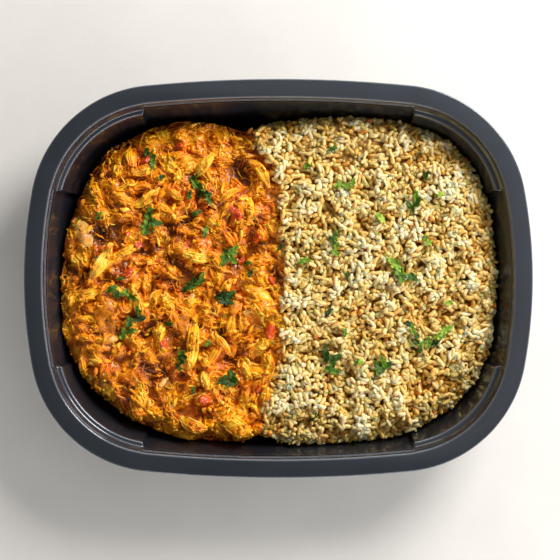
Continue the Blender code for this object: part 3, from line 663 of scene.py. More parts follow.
def finish_tree(tree, geometry, group_input):
    """Realizes the instances, sets the material and ends the tree."""
    realize = tree.nodes.new("GeometryNodeRealizeInstances")
    painted = tree.nodes.new("GeometryNodeSetMaterial")
    smooth = tree.nodes.new("GeometryNodeSetShadeSmooth")
    group_output = tree.nodes.new("NodeGroupOutput")
    join(tree, geometry, realize.inputs[0])
    join(tree, realize.outputs[0], painted.inputs["Geometry"])
    join(tree, group_input.outputs["Finish"], painted.inputs["Material"])
    join(tree, painted.outputs[0], smooth.inputs["Geometry"])
    join(tree, smooth.outputs[0], group_output.inputs[0])


def new_tree(name, **inputs):
    """A geometry tree with the given inputs and a material's, and the node that gives their values."""
    tree = bpy.data.node_groups.new(name, "GeometryNodeTree")
    socket(tree, "Geometry", "NodeSocketGeometry")
    for label, value in inputs.items():
        socket(tree, label, "NodeSocketInt" if isinstance(value, int) else "NodeSocketFloat", value=value)
    socket(tree, "Finish", "NodeSocketMaterial")
    socket(tree, "Geometry", "NodeSocketGeometry", "OUTPUT")
    return tree, tree.nodes.new("NodeGroupInput")


def set_on_points(tree, group_input, shape):
    """Sets the shape on each point, turned and sized as the point's attributes say, and ends the tree."""
    set_out = tree.nodes.new("GeometryNodeInstanceOnPoints")
    turn = tree.nodes.new("FunctionNodeEulerToRotation")
    join(tree, named(tree, "turn", "FLOAT_VECTOR"), turn.inputs[0])
    join(tree, group_input.outputs["Geometry"], set_out.inputs["Points"])
    join(tree, shape, set_out.inputs["Instance"])
    join(tree, turn.outputs[0], set_out.inputs["Rotation"])
    join(tree, named(tree, "size", "FLOAT_VECTOR"), set_out.inputs["Scale"])
    finish_tree(tree, set_out.outputs[0], group_input)


def grain_tree():
    """Sets grains on points: long lumpy spheres with blunt ends, fuller at one end and bent lengthwise."""
    tree, group_input = new_tree(
        "grains_of_rice", Length=GRAIN_LENGTH * MM, Width=GRAIN_WIDTH * MM, Bend=0.05,
        Lumpiness=GRAIN_LUMPINESS, Seed=0.0,
    )
    ball = add_node(tree, "GeometryNodeMeshUVSphere", Segments=6, Rings=7, Radius=1.0)
    place = tree.nodes.new("GeometryNodeInputPosition")
    split = tree.nodes.new("ShaderNodeSeparateXYZ")
    join(tree, place.outputs[0], split.inputs[0])
    side, up, along = split.outputs
    half_length = math_node(tree, "MULTIPLY", group_input.outputs["Length"], 0.5)
    half_width = math_node(tree, "MULTIPLY", group_input.outputs["Width"], 0.5)
    far = math_node(tree, "ABSOLUTE", along)
    square = math_node(tree, "MULTIPLY_ADD", far, far, 1.0)
    blunt = math_node(tree, "DIVIDE", math_node(tree, "ADD", square, far), math_node(tree, "ADD", far, 1.0))
    blunt = math_node(tree, "MULTIPLY_ADD", blunt, 0.6, 0.4)
    fuller = math_node(tree, "MULTIPLY", math_node(tree, "MULTIPLY_ADD", along, 0.12, 1.0), blunt)
    bran = add_node(tree, "ShaderNodeTexNoise", Scale=1.4, Detail=1.0)
    bran.noise_dimensions = "4D"
    join(tree, group_input.outputs["Seed"], bran.inputs["W"])
    swell = math_node(tree, "SUBTRACT", bran.outputs["Fac"], 0.5)
    swell = math_node(tree, "MULTIPLY", swell, group_input.outputs["Lumpiness"])
    fuller = math_node(tree, "MULTIPLY", math_node(tree, "MULTIPLY_ADD", swell, 2.0, 1.0), fuller)
    reach = math_node(tree, "MULTIPLY", half_width, fuller)
    arch = math_node(tree, "MULTIPLY", along, along)
    arch = math_node(tree, "MULTIPLY", arch, group_input.outputs["Bend"])
    arch = math_node(tree, "MULTIPLY", arch, group_input.outputs["Length"])
    shaped = tree.nodes.new("ShaderNodeCombineXYZ")
    join(tree, math_node(tree, "MULTIPLY", along, half_length), shaped.inputs[0])
    join(tree, math_node(tree, "MULTIPLY_ADD", side, reach, arch), shaped.inputs[1])
    join(tree, math_node(tree, "MULTIPLY", up, reach), shaped.inputs[2])
    moved = tree.nodes.new("GeometryNodeSetPosition")
    join(tree, ball.outputs["Mesh"], moved.inputs["Geometry"])
    join(tree, shaped.outputs[0], moved.inputs["Position"])
    set_on_points(tree, group_input, moved.outputs[0])
    return tree


def apply_tree(name, source, tree, **inputs):
    """Runs a geometry tree on a mesh and returns the plain mesh object that it makes."""
    guide = new_object(name + "_guide", source)
    modifier = guide.modifiers.new("tree", "NODES")
    modifier.node_group = tree
    for item in tree.interface.items_tree:
        if item.in_out == "INPUT" and item.name in inputs:
            modifier[item.identifier] = inputs[item.name]
    graph = bpy.context.evaluated_depsgraph_get()
    mesh = bpy.data.meshes.new_from_object(guide.evaluated_get(graph))
    bpy.data.objects.remove(guide)
    mesh.name = name
    return new_object(name, mesh)


def point_mesh(name, columns, edges=(), **attributes):
    """Loose points, in millimetres, with an attribute for each named array."""
    mesh = bpy.data.meshes.new(name)
    mesh.from_pydata((np.asarray(columns) * MM).tolist(), list(edges), [])
    for label, values in attributes.items():
        set_values(mesh, label, values)
    return mesh


rice_finish, tree, shader = new_material(
    "rice", (0.70, 0.50, 0.20, 1.0), 0.40, Subsurface_Weight=0.75, Subsurface_Scale=0.0032, Coat_Weight=0.06,
    Coat_Roughness=0.25, Specular_IOR_Level=0.55,
)
shader.inputs["Subsurface Radius"].default_value = (1.0, 0.55, 0.20)
grain_colour = ramp(
    tree, attribute_value(tree, "tint"), (0.0, (0.42, 0.13, 0.003)), (0.25, (0.61, 0.29, 0.020)),
    (0.5, (0.74, 0.455, 0.105)), (0.8, (0.81, 0.575, 0.225)), (1.0, (0.86, 0.70, 0.44)),
)
streaks = ramp(tree, noise_value(tree, 1.3, 4.0), (0.35, (0.84, 0.72, 0.50)), (0.6, (1.0, 1.0, 1.0)))
join(tree, mixed(tree, "MULTIPLY", 0.6, grain_colour, streaks), shader.inputs["Base Color"])
sheen = ramp(tree, noise_value(tree, 2.4), (0.35, grey(0.38)), (0.65, grey(0.50)))
join(tree, sheen, shader.inputs["Roughness"])
add_bump(tree, shader, noise_value(tree, 0.9, 3.0), 0.09)


def mottle(tree, shader, texture, dark, light):
    """Colours a shader from dark to light as the texture's value rises."""
    join(tree, ramp(tree, texture, (0.35, dark), (0.65, light)), shader.inputs["Base Color"])


# Painted shade: the bed shows only in the gaps between the loose grains, so it is coloured darker than they
# are.
bed_painted_shade_finish, tree, shader = new_material("packed_rice_painted_shade", (0.30, 0.15, 0.04, 1.0), 0.6)
mottle(tree, shader, noise_value(tree, 1.6), (0.20, 0.08, 0.006), (0.56, 0.29, 0.05))
add_bump(tree, shader, noise_value(tree, 1.6), 1.2)


def merged_shape(node):
    """A bmesh of a CAD node, its loose triangles joined up."""
    shape = bmesh.new()
    shape.from_mesh(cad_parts[node].data)
    bmesh.ops.remove_doubles(shape, verts=shape.verts, dist=MERGE_REACH)
    return shape


def sunk_copy(node, name, depth, inward, finish):
    """A CAD heap's form, drawn in all round: its top by depth and its sides by inward, in millimetres."""
    shape = merged_shape(node)
    shape.normal_update()
    for vert in shape.verts:
        level = vert.co.z / MM
        flat = Vector((vert.normal.x, vert.normal.y, 0.0))
        if level > BED_FOOT:
            vert.co.z -= depth * MM * min(1.0, max(0.0, vert.normal.z) + BED_SIDE_SHARE)
        vert.co -= flat * inward * MM
    mesh = mesh_of(shape, name)
    mesh.shade_smooth()
    mesh.materials.append(finish)
    return new_object(name, mesh)


def share_near(mask):
    """1 deep inside the mask, a half at its edge, falling to 0 a few millimetres outside."""
    share = mask.astype(float)
    for _ in range(SEAM_PASSES):
        share = evened(share)
    return share


random = np.random.default_rng(RICE_SEED)
rice_solid, curry_solid = (search_tree(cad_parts[node].data) for node in ("rice", "curry"))
rice_top = Heights(rice_solid, *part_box("tray"), GRID_CELL).blurred(5)
curry_top = Heights(curry_solid, *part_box("tray"), GRID_CELL).blurred(6)
grid_y, grid_x = np.mgrid[0:rice_top.z.shape[0], 0:rice_top.z.shape[1]] * GRID_CELL
clumps_of_rice = 0.5 * wavy(grid_x / BIG_CLUMP, grid_y / BIG_CLUMP, 31)
clumps_of_rice += 0.5 * wavy(grid_x / SMALL_CLUMP, grid_y / SMALL_CLUMP, 32)
near_rice, near_curry = share_near(rice_top.inside), share_near(curry_top.inside)
far_side = smooth_step(*FAR_EDGE, grid_y + rice_top.low[1])
edge_drop = 2 * np.clip(1.0 - share_near(rice_top.inside | curry_top.inside), 0.0, 0.5)
edge_drop = edge_drop * EDGE_DROP + far_side * FAR_EDGE_DROP
curry_top.z += SEAM_RISE * 2 * near_rice - edge_drop
ragged = 0.04 + 0.44 * wavy(grid_x / SEAM_RAGGEDNESS, grid_y / SEAM_RAGGEDNESS, 33)
seam = ~rice_top.inside & (near_rice > ragged) & (near_curry > 0.30)
rice_top.z = np.where(seam, curry_top.z, rice_top.z + SEAM_RISE * 2 * near_curry - edge_drop)
rice_top.z += CLUMP_RISE * (clumps_of_rice - 0.5)
rice_top.inside |= seam
pile = rice_top.blurred(1)
pile.z = pile.z - BED_DEPTH - FIRST_LAYER
grains = drop_grains(pile, rice_top, clumps_of_rice, GRAIN_COUNT, random)
grains += side_grains("rice", curry_solid, SIDE_GRAIN_COUNT, random)
grains = np.array(grains)
grain_nodes = grain_tree()
shares = np.cumsum([0.0] + [kind[4] for kind in GRAIN_KINDS])
lot = random.uniform(0.0, 1.0, len(grains))
for index, (name, length, width, bend, _) in enumerate(GRAIN_KINDS):
    some = grains[(lot >= shares[index]) & (lot < shares[index + 1])]
    size = np.column_stack((some[:, 6], some[:, 7], some[:, 7]))
    points = point_mesh(name, some[:, 0:3], turn=some[:, 3:6], size=size, tint=some[:, 8])
    piece = apply_tree(
        name, points, grain_nodes, Length=GRAIN_LENGTH * length * MM, Width=GRAIN_WIDTH * width * MM,
        Bend=bend, Lumpiness=GRAIN_LUMPINESS, Seed=2.5 * index, Finish=rice_finish,
    )
    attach(piece, "root")
rice_bed = sunk_copy("rice", "rice_bed", BED_DEPTH, BED_INSET, bed_painted_shade_finish)
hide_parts("rice")
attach(rice_bed, "root")


# The curry sauce.
# Chicken breast pulled into shreds and stewed in a thick orange sauce, heaped on the left. This is the bed
# of sauce under the loose meat: it keeps the heap's form and holds the mounds, the clumps of pulled meat
# with their fibres, the crumbs and the hollows where brown sauce gathers. Its tone is partly painted light
# and shade: paler where it stands higher, darker in the hollows and on the heap's sides.
CURRY_SEED = 7
BED_VOXEL = 0.67
CURRY_SINK = 2.2
CURRY_TOP_FOOT = 9.0
CURRY_SIDE_FOOT = 5.0
MOUND_RISE = 2.4
MOUND_SIZE = 15.0
CLUMP_COUNT = 260
CLUMP_TRIES = 60
CLUMP_SPACING = 5.0
CLUMP_HEIGHT = (1.0, 3.0)
CLUMP_LENGTH = (4.0, 8.5)
CLUMP_WIDTH = (2.2, 4.6)
FLOW_SCALE = 26.0
# The hollows where sauce lies between the clumps, darker partly as painted shade: middle x and y, radius.
HOLLOWS = (
    (-80.0, 20.0, 10.0), (-17.0, 47.0, 9.0), (-9.0, 25.0, 5.0), (-2.0, 3.0, 4.5), (-48.0, 9.0, 5.0),
    (-26.0, -24.0, 4.5), (-20.5, -37.0, 5.5), (-56.0, -42.0, 9.0), (-84.0, 55.0, 10.0), (-68.0, 62.0, 8.0),
    (-62.0, 12.0, 5.0), (-41.0, 27.0, 5.0), (-41.0, -20.0, 5.0), (-24.0, -9.0, 4.5), (-77.0, -22.0, 5.0),
    (-49.0, 22.0, 4.5), (-88.0, 2.0, 4.0), (-60.0, -24.0, 5.0), (-33.0, -62.0, 5.0), (-70.0, -50.0, 5.0),
)


def clumps(random, solid_top):
    """Clumps of pulled meat: middle x and y, turn, half length, half width, height and tone of each."""
    rows, columns = np.nonzero(solid_top.inside)
    found = []
    for _ in range(CLUMP_COUNT * CLUMP_TRIES):
        pick = random.integers(len(rows))
        x = solid_top.low[0] + columns[pick] * solid_top.cell
        y = solid_top.low[1] + rows[pick] * solid_top.cell
        if any(math.hypot(x - other[0], y - other[1]) < CLUMP_SPACING for other in found):
            continue
        flow = 2 * math.pi * float(wavy(np.array(x / FLOW_SCALE), np.array(y / FLOW_SCALE), 5))
        hollow = max(1.0 - math.hypot(x - a, y - b) / reach for a, b, reach in HOLLOWS)
        height = random.uniform(*CLUMP_HEIGHT) * (0.3 if hollow > 0.25 else 1.0)
        # Clumps near a hollow get a darker tone: painted shade.
        tone = random.normal(0.56, 0.09) - 0.30 * max(0.0, hollow)
        turn = flow + random.normal(0.0, 0.9)
        found.append((x, y, turn, random.uniform(*CLUMP_LENGTH), random.uniform(*CLUMP_WIDTH), height, tone))
        if len(found) == CLUMP_COUNT:
            break
    return found


def crumbly(x, y, scale, seed):
    """Noise from 0 to 1 with sharp ridges, like the crumbs of pulled meat."""
    warp_x, warp_y = (wavy(x / scale / 1.7, y / scale / 1.7, seed + more) for more in (1, 2))
    return 1.0 - np.abs(2.0 * wavy(x / scale + 1.6 * warp_x, y / scale + 1.6 * warp_y, seed) - 1.0)


def curry_relief(x, y, found):
    """The relief over the bed at x and y, and its tone with painted light and shade: two arrays."""
    mound = wavy(x / MOUND_SIZE, y / MOUND_SIZE, 41) - 0.5
    relief = 0.7 * crumbly(x, y, 3.2, 21) - 0.6
    # Painted light: the tone rises a little where the relief stands higher.
    tone = 0.20 + 0.26 * wavy(x / 5.0, y / 5.0, 22) + 0.08 * relief
    for index, (middle_x, middle_y, turn, length, width, height, own_tone) in enumerate(found):
        dx, dy = x - middle_x, y - middle_y
        close = np.nonzero(dx * dx + dy * dy < (length + 1.5) ** 2)[0]
        u = dx[close] * math.cos(turn) + dy[close] * math.sin(turn)
        v = dy[close] * math.cos(turn) - dx[close] * math.sin(turn)
        v = v + 2.2 * (wavy(u / 3.5, v / 3.5, 30 + index) - 0.5)
        dome = 1.0 - (u / length) ** 2 - (v / width) ** 2
        fibre = 0.6 * wavy(u / 4.0, v / 0.9, 60 + index) + 0.4 * crumbly(u, v, 1.6, 90 + index)
        rise = height * np.sqrt(np.maximum(dome, 0.0)) + 1.3 * (fibre - 0.5) * np.clip(dome * 3, 0, 1)
        higher = (dome > 0.0) & (rise > relief[close])
        picked = close[higher]
        relief[picked] = rise[higher]
        shade = 0.34 * (fibre - 0.5) - 0.22 * (1 - np.clip(dome * 1.6, 0, 1))
        tone[picked] = own_tone + shade[higher]
    for middle_x, middle_y, reach in HOLLOWS:
        ragged = reach * (0.7 + 0.6 * wavy((x - middle_x) / 3.0, (y - middle_y) / 3.0, 51))
        depth = np.clip(1.0 - np.hypot(x - middle_x, y - middle_y) / ragged, 0.0, 1.0)
        relief = relief - 1.8 * np.minimum(1.0, 1.6 * depth)
        # The hollows are darker, partly as the brown sauce gathered there and partly as painted shade.
        tone = tone - 0.27 * np.minimum(1.0, 1.4 * depth)
    relief = relief + 0.45 * (crumbly(x, y, 1.5, 71) - 0.5)
    # Painted light and shade: the higher mounds are paler, the lower ones darker.
    return relief + MOUND_RISE * mound, tone + 0.22 * mound


def make_curry_bed(found, solid_top, finish):
    """The heap's form in fine faces, its top given the relief."""
    rough = new_object("curry_rough", mesh_of(merged_shape("curry"), "curry_rough"))
    remesh = rough.modifiers.new("fine", "REMESH")
    remesh.mode = "VOXEL"
    remesh.voxel_size = BED_VOXEL * MM
    mesh = bpy.data.meshes.new_from_object(rough.evaluated_get(bpy.context.evaluated_depsgraph_get()))
    bpy.data.objects.remove(rough)
    count = len(mesh.vertices)
    places, normals = np.empty(count * 3), np.empty(count * 3)
    mesh.vertices.foreach_get("co", places)
    mesh.vertices.foreach_get("normal", normals)
    places, normals = places.reshape(-1, 3) / MM, normals.reshape(-1, 3)
    x, y = places[:, 0], places[:, 1]
    relief, tone = curry_relief(x, y, found)
    top = solid_top.smooth_at(x, y) + relief - CURRY_SINK
    upward = smooth_step(0.10, 0.55, normals[:, 2]) * (places[:, 2] > CURRY_TOP_FOOT)
    side = (1.0 - upward) * (places[:, 2] > CURRY_SIDE_FOOT)
    lumps = crumbly(x + places[:, 2], y - places[:, 2], 4.5, 77)
    places[:, 2] = np.where(np.isnan(top), places[:, 2], places[:, 2] * (1 - upward) + top * upward)
    at_seam = np.clip(near_rice[solid_top.cells(x, y)] * 4.0, 0.0, 1.0)
    places[:, 0:2] -= normals[:, 0:2] * (side * (0.2 + 2.4 * lumps) * (1.0 - at_seam))[:, None]
    # Painted shade: the heap's steep sides get a darker tone than its top.
    tone = tone * upward + (0.12 + 0.30 * (1.0 - lumps)) * (1 - upward)
    mesh.vertices.foreach_set("co", (places * MM).ravel())
    set_values(mesh, "tone", np.clip(tone, 0.0, 1.0))
    mesh.shade_smooth()
    mesh.materials.clear()
    mesh.materials.append(finish)
    mesh.name = "curry_sauce"
    return new_object("curry_sauce", mesh)


def curry_material(name, roughness, coat, fleck_mm, bump_mm):
    """Sauced meat: the tone attribute picks from dark brown sauce to pale yellow meat, redder in places."""
    made, tree, shader = new_material(
        name, (0.8, 0.3, 0.02, 1.0), roughness, Subsurface_Weight=0.12, Subsurface_Scale=0.0018,
        Coat_Weight=coat, Coat_Roughness=0.10, Specular_IOR_Level=0.25,
    )
    shader.inputs["Subsurface Radius"].default_value = (1.0, 0.35, 0.06)
    flecks = math_node(tree, "MULTIPLY_ADD", noise_value(tree, fleck_mm, 4.0), 0.50, -0.25)
    drift = math_node(tree, "MULTIPLY_ADD", noise_value(tree, 8.0, 3.0), 0.50, -0.25)
    total = math_node(tree, "ADD", math_node(tree, "ADD", attribute_value(tree, "tone"), flecks), drift)
    colour = ramp(
        tree, total, (0.0, (0.10, 0.026, 0.001)), (0.18, (0.25, 0.06, 0.001)), (0.36, (0.52, 0.13, 0.002)),
        (0.55, (0.84, 0.27, 0.003)), (0.75, (0.94, 0.45, 0.008)), (1.0, (0.96, 0.64, 0.07)),
    )
    patches = ramp(tree, noise_value(tree, 10.0, 2.0), (0.50, grey(0.0)), (0.68, grey(0.70)))
    colour = mixed(tree, "MULTIPLY", patches, colour, (0.95, 0.48, 0.60, 1.0))
    join(tree, colour, shader.inputs["Base Color"])
    dull, wet = grey(roughness * 1.4), grey(roughness * 0.6)
    join(tree, ramp(tree, noise_value(tree, 3.0), (0.35, wet), (0.65, dull)), shader.inputs["Roughness"])
    add_bump(tree, shader, noise_value(tree, 0.8, 5.0), bump_mm)
    return made


random = np.random.default_rng(CURRY_SEED)
sauce_finish = curry_material("curry_sauce", roughness=0.30, coat=0.35, fleck_mm=1.5, bump_mm=0.35)
meat_clumps = clumps(random, curry_top)
curry_bed = make_curry_bed(meat_clumps, curry_top, sauce_finish)
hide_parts("curry")
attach(curry_bed, "root")


# The pulled chicken.
# Loose meat on the sauce: chunks of breast, each a bundle of fibres round a core, and short curling shreds
# torn off them. Each is draped over the heights of what lies below it and then raises them. Geometry Nodes
# run a section along every path.
PATH_STEP = 0.9
CHUNK_COUNT = 46
CHUNK_STRETCH = (1.0, 1.7)
CHUNK_WIDTH = (2.6, 4.2)
CHUNK_THICKNESS = (2.0, 3.0)
SHREDS_UNDER_CHUNKS = 6
SHREDS_OVER_CHUNKS = 3
SHRED_LENGTH = (2.6, 8.0)
SHRED_RADIUS = (0.22, 0.55)
THICK_SHARE = 0.22
THICK_RADIUS = (0.6, 1.05)
LIFTED_SHARE = 0.4
SHRED_LIFT = 0.45
PALE_SHARE = 0.20
PALE_TONE = 0.22
FIBRE_SPACING = 0.95
FIBRE_GRAIN = 620.0
# Each chunk that stands out: middle x and y, length, width, thickness, turn in degrees, bend, tone.
CHICKEN_CHUNKS = (
    (-80.0, 7.0, 21.0, 5.5, 4.0, 62.0, 0.10, 0.92), (-36.0, 9.5, 15.0, 4.6, 3.4, -8.0, 0.10, 0.86),
    (-13.0, 32.0, 10.0, 4.0, 3.0, 88.0, 0.05, 0.86), (-33.5, 51.0, 15.0, 4.4, 3.2, 52.0, 0.12, 0.84),
    (-42.0, 53.0, 11.0, 4.0, 3.0, 40.0, -0.15, 0.80), (-39.0, -30.0, 28.0, 5.0, 3.6, 80.0, 0.05, 0.82),
    (-25.0, -30.0, 13.0, 4.2, 3.2, -52.0, -0.08, 0.78), (-33.0, -46.0, 9.0, 3.8, 3.0, 108.0, 0.05, 0.95),
    (-19.0, -66.5, 15.0, 8.0, 4.0, -32.0, 0.04, 0.80), (-38.5, -66.0, 14.0, 6.0, 3.8, -24.0, 0.10, 0.80),
    (-64.0, -59.5, 15.0, 4.6, 3.4, 112.0, 0.05, 0.60), (-8.5, 48.0, 18.0, 4.6, 3.6, -50.0, -0.16, 0.84),
    (-60.0, 36.0, 17.0, 4.4, 3.2, 32.0, 0.08, 0.80), (-24.0, -6.0, 14.0, 4.4, 3.2, 70.0, -0.10, 0.72),
    (-61.0, 49.0, 12.0, 5.0, 3.2, 15.0, 0.10, 0.80), (-47.0, 38.0, 9.0, 3.4, 2.8, -40.0, 0.1, 0.84),
)


def roughened(tree, geometry, direction, scale, amount):
    """Moves a mesh's points along direction by a noise of that scale, times amount."""
    grain = add_node(tree, "ShaderNodeTexNoise", Scale=scale, Detail=2.0)
    swell = math_node(tree, "MULTIPLY", math_node(tree, "SUBTRACT", grain.outputs["Fac"], 0.5), amount)
    push = tree.nodes.new("ShaderNodeVectorMath")
    push.operation = "SCALE"
    join(tree, direction, push.inputs[0])
    join(tree, swell, push.inputs["Scale"])
    rough = tree.nodes.new("GeometryNodeSetPosition")
    join(tree, geometry, rough.inputs["Geometry"])
    join(tree, push.outputs[0], rough.inputs["Offset"])
    return rough.outputs[0]


def tube_tree():
    """Runs a flattened round section along each path, as thick as the path's thickness attribute says."""
    tree, group_input = new_tree("strands_of_meat", Sides=6, Flatness=0.7, Roughen=0.0)
    curve = tree.nodes.new("GeometryNodeMeshToCurve")
    join(tree, group_input.outputs["Geometry"], curve.inputs[0])
    upright = tree.nodes.new("GeometryNodeSetCurveNormal")
    upright.mode = "Z_UP"
    join(tree, curve.outputs[0], upright.inputs["Curve"])
    circle = add_node(tree, "GeometryNodeCurvePrimitiveCircle", Radius=1.0)
    join(tree, group_input.outputs["Sides"], circle.inputs["Resolution"])
    place = tree.nodes.new("GeometryNodeInputPosition")
    split = tree.nodes.new("ShaderNodeSeparateXYZ")
    join(tree, place.outputs[0], split.inputs[0])
    shaped = tree.nodes.new("ShaderNodeCombineXYZ")
    join(tree, split.outputs[0], shaped.inputs[0])
    flattened = math_node(tree, "MULTIPLY", split.outputs[1], group_input.outputs["Flatness"])
    join(tree, flattened, shaped.inputs[1])
    section = tree.nodes.new("GeometryNodeSetPosition")
    join(tree, circle.outputs["Curve"], section.inputs["Geometry"])
    join(tree, shaped.outputs[0], section.inputs["Position"])
    tube = add_node(tree, "GeometryNodeCurveToMesh", Fill_Caps=True)
    join(tree, upright.outputs[0], tube.inputs["Curve"])
    join(tree, section.outputs[0], tube.inputs["Profile Curve"])
    join(tree, named(tree, "thickness", "FLOAT"), tube.inputs["Scale"])
    outward = tree.nodes.new("GeometryNodeInputNormal").outputs[0]
    rough = roughened(tree, tube.outputs[0], outward, FIBRE_GRAIN, group_input.outputs["Roughen"])
    finish_tree(tree, rough, group_input)
    return tree


class Strands:
    """Paths laid on a surface, gathered for one piece."""

    def __init__(self):
        self.places, self.edges, self.thickness, self.tones = [], [], [], []

    def add(self, path, radii, tone):
        first = len(self.places)
        self.places += [tuple(point) for point in path]
        self.edges += [(first + step, first + step + 1) for step in range(len(path) - 1)]
        self.thickness += [radius * MM for radius in radii]
        self.tones += list(np.clip(np.broadcast_to(tone, len(path)), 0.0, 1.0))

    def piece(self, name, tree, **inputs):
        mesh = point_mesh(name, self.places, self.edges, thickness=self.thickness, tone=self.tones)
        return apply_tree(name, mesh, tree, **inputs)


def lay_path(surface, x, y, turn, length, bend, wiggle, radius, lift, random, spill):
    """A path that drapes over the surface, or None where that lies outside it."""
    count = max(5, round(length / PATH_STEP) + 1)
    t = np.linspace(-1.0, 1.0, count)
    wander = np.cumsum(random.normal(0.0, wiggle, count))
    turns = turn + bend * t + wander - wander.mean()
    xs = x + np.cumsum(np.cos(turns)) * length / count
    ys = y + np.cumsum(np.sin(turns)) * length / count
    xs, ys = xs - xs.mean() + x, ys - ys.mean() + y
    below = surface.at(xs, ys)
    if np.isnan(below).any() or surface.within(xs, ys).mean() < 1.0 - spill:
        return None
    even = below.copy()
    for _ in range(2):
        padded = np.concatenate((even[:1], even, even[-1:]))
        even = (padded[:-2] + 2 * padded[1:-1] + padded[2:]) / 4
    z = np.maximum(even, below - 0.5 * radius) + 0.40 * radius + lift * (1.0 - t * t)
    path = np.column_stack((xs, ys, z))
    return path + np.array([clear_of_tray(*point, 1.2 * radius) for point in path])


def press_in(surface, path, radii, flatness):
    """Raises the surface's heights to the top of a path laid on it."""
    for (x, y, z), radius in zip(path, radii):
        rows, columns, dx, dy = surface.patch(x, y, radius)
        dome = 1.0 - (dx * dx + dy * dy) / max(radius, 0.35) ** 2
        near = surface.z[rows, columns]
        top = z + flatness * radius * np.sqrt(np.maximum(dome, 0.0))
        surface.z[rows, columns] = np.where(dome > 0.0, np.fmax(near, top), near)


def tapered(count, radius, ends=0.3):
    t = np.linspace(-1.0, 1.0, count)
    return radius * np.maximum(ends, 1.0 - np.abs(t) ** 3.0)


def lay_chunk(x, y, length, width, thickness, turn, bend, tone):
    """A chunk of meat: a core along a path, and fibres side by side over it."""
    path = lay_path(
        laid, x, y, turn, length, bend, wiggle=0.05, radius=thickness / 2, lift=0.0, random=random,
        spill=0.25,
    )
    if path is None:
        return
    flat = thickness / width
    radii = tapered(len(path), width * 0.46, 0.45)
    cores.add(path, radii, tone - 0.08)
    ahead = np.gradient(path[:, 0:2], axis=0)
    ahead /= np.linalg.norm(ahead, axis=1)[:, None]
    count = max(3, round(width / FIBRE_SPACING))
    for fibre in range(count):
        share = (fibre + 0.5) / count * 2.0 - 1.0
        first, last = random.integers(0, 3), len(path) - random.integers(0, 3)
        if last - first < 4:
            first, last = 0, len(path)
        width_here = radii / radii.max()
        aside = share * width * 0.47 * width_here + np.cumsum(random.normal(0.0, 0.05, len(path)))
        beside = path.copy()
        beside[:, 0] -= ahead[:, 1] * aside
        beside[:, 1] += ahead[:, 0] * aside
        beside[:, 2] += thickness * 0.40 * math.sqrt(1.0 - share * share) * width_here
        beside[:, 2] += random.normal(0.0, 0.16) + 0.1 * random.normal(0.0, 1.0, len(path))
        thin = tapered(last - first, 0.62 * width / count * random.uniform(0.85, 1.3), 0.4)
        fibres.add(beside[first:last], thin, tone + random.normal(0.0, 0.07))
    press_in(laid, path, radii * 1.05, flat * 1.2)


def turned_place(x, y, along, aside, turn):
    """The place that lies along and aside of x and y, as seen in the direction of turn."""
    ahead_x, ahead_y = math.cos(turn), math.sin(turn)
    return x + along * ahead_x - aside * ahead_y, y + along * ahead_y + aside * ahead_x


def lay_shreds(clump, count):
    """Short curling shreds, strewn over a clump."""
    x, y, turn, length, width, _, tone = clump
    for _ in range(count):
        aside, ahead = random.normal(0.0, 0.55) * width, random.normal(0.0, 0.5) * length
        start_x, start_y = turned_place(x, y, ahead, aside, turn)
        thick = random.random() < THICK_SHARE
        radius = random.uniform(*THICK_RADIUS) if thick else random.uniform(*SHRED_RADIUS)
        lift = random.exponential(SHRED_LIFT) if random.random() < LIFTED_SHARE else 0.0
        path = lay_path(
            laid, start_x, start_y, turn + random.normal(0.0, 0.55), random.uniform(*SHRED_LENGTH),
            bend=random.normal(0.0, 0.9), wiggle=random.uniform(0.10, 0.42), radius=radius, lift=lift,
            random=random, spill=0.35,
        )
        if path is None:
            continue
        radii = tapered(len(path), radius)
        pale = PALE_TONE if random.random() < PALE_SHARE else 0.0
        (coarse if thick else fine).add(path, radii, tone + pale + random.normal(0.06, 0.10))
        press_in(laid, path, radii, 0.8)


laid = Heights(search_tree(curry_bed.data), *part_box("tray"), GRID_CELL)
laid.z = np.where(laid.inside, laid.z, pile.z)
meat_finish = curry_material("sauced_chicken", roughness=0.34, coat=0.28, fleck_mm=1.2, bump_mm=0.22)
cores, fibres, fine, coarse = Strands(), Strands(), Strands(), Strands()
for clump in meat_clumps:
    lay_shreds(clump, SHREDS_UNDER_CHUNKS)
for pick in random.choice(len(meat_clumps), size=CHUNK_COUNT, replace=False):
    x, y, turn, length, _, _, tone = meat_clumps[pick]
    lay_chunk(
        x, y, length=length * random.uniform(*CHUNK_STRETCH), width=random.uniform(*CHUNK_WIDTH),
        thickness=random.uniform(*CHUNK_THICKNESS), turn=turn, bend=random.normal(0.0, 0.4),
        tone=tone + 0.12,
    )
for x, y, length, width, thickness, turn, bend, tone in CHICKEN_CHUNKS:
    lay_chunk(x, y, length, width, thickness, math.radians(turn), 2.4 * bend, tone)
for clump in meat_clumps:
    lay_shreds(clump, SHREDS_OVER_CHUNKS)

meat_tree = tube_tree()
for name, strands, sides, flatness, roughen in (
    ("chicken_cores", cores, 14, 0.55, 0.7), ("chicken_fibres", fibres, 6, 0.9, 0.25),
    ("chicken_shreds_coarse", coarse, 8, 0.75, 0.7), ("chicken_shreds_fine", fine, 5, 0.85, 0.22),
):
    piece = strands.piece(
        name, meat_tree, Sides=sides, Flatness=flatness, Roughen=roughen * MM, Finish=meat_finish,
    )
    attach(piece, "root")


# The crumbs in the curry.
# Small crumbs of meat and clots of sauce that lie over everything: one lumpy ball of few faces, set by
# Geometry Nodes on points strewn over the heap, each with its own turn, size and tone.
CRUMB_COUNT = 1300
CRUMB_RADIUS = (0.25, 0.85)
CRUMB_LUMPINESS = 1.7


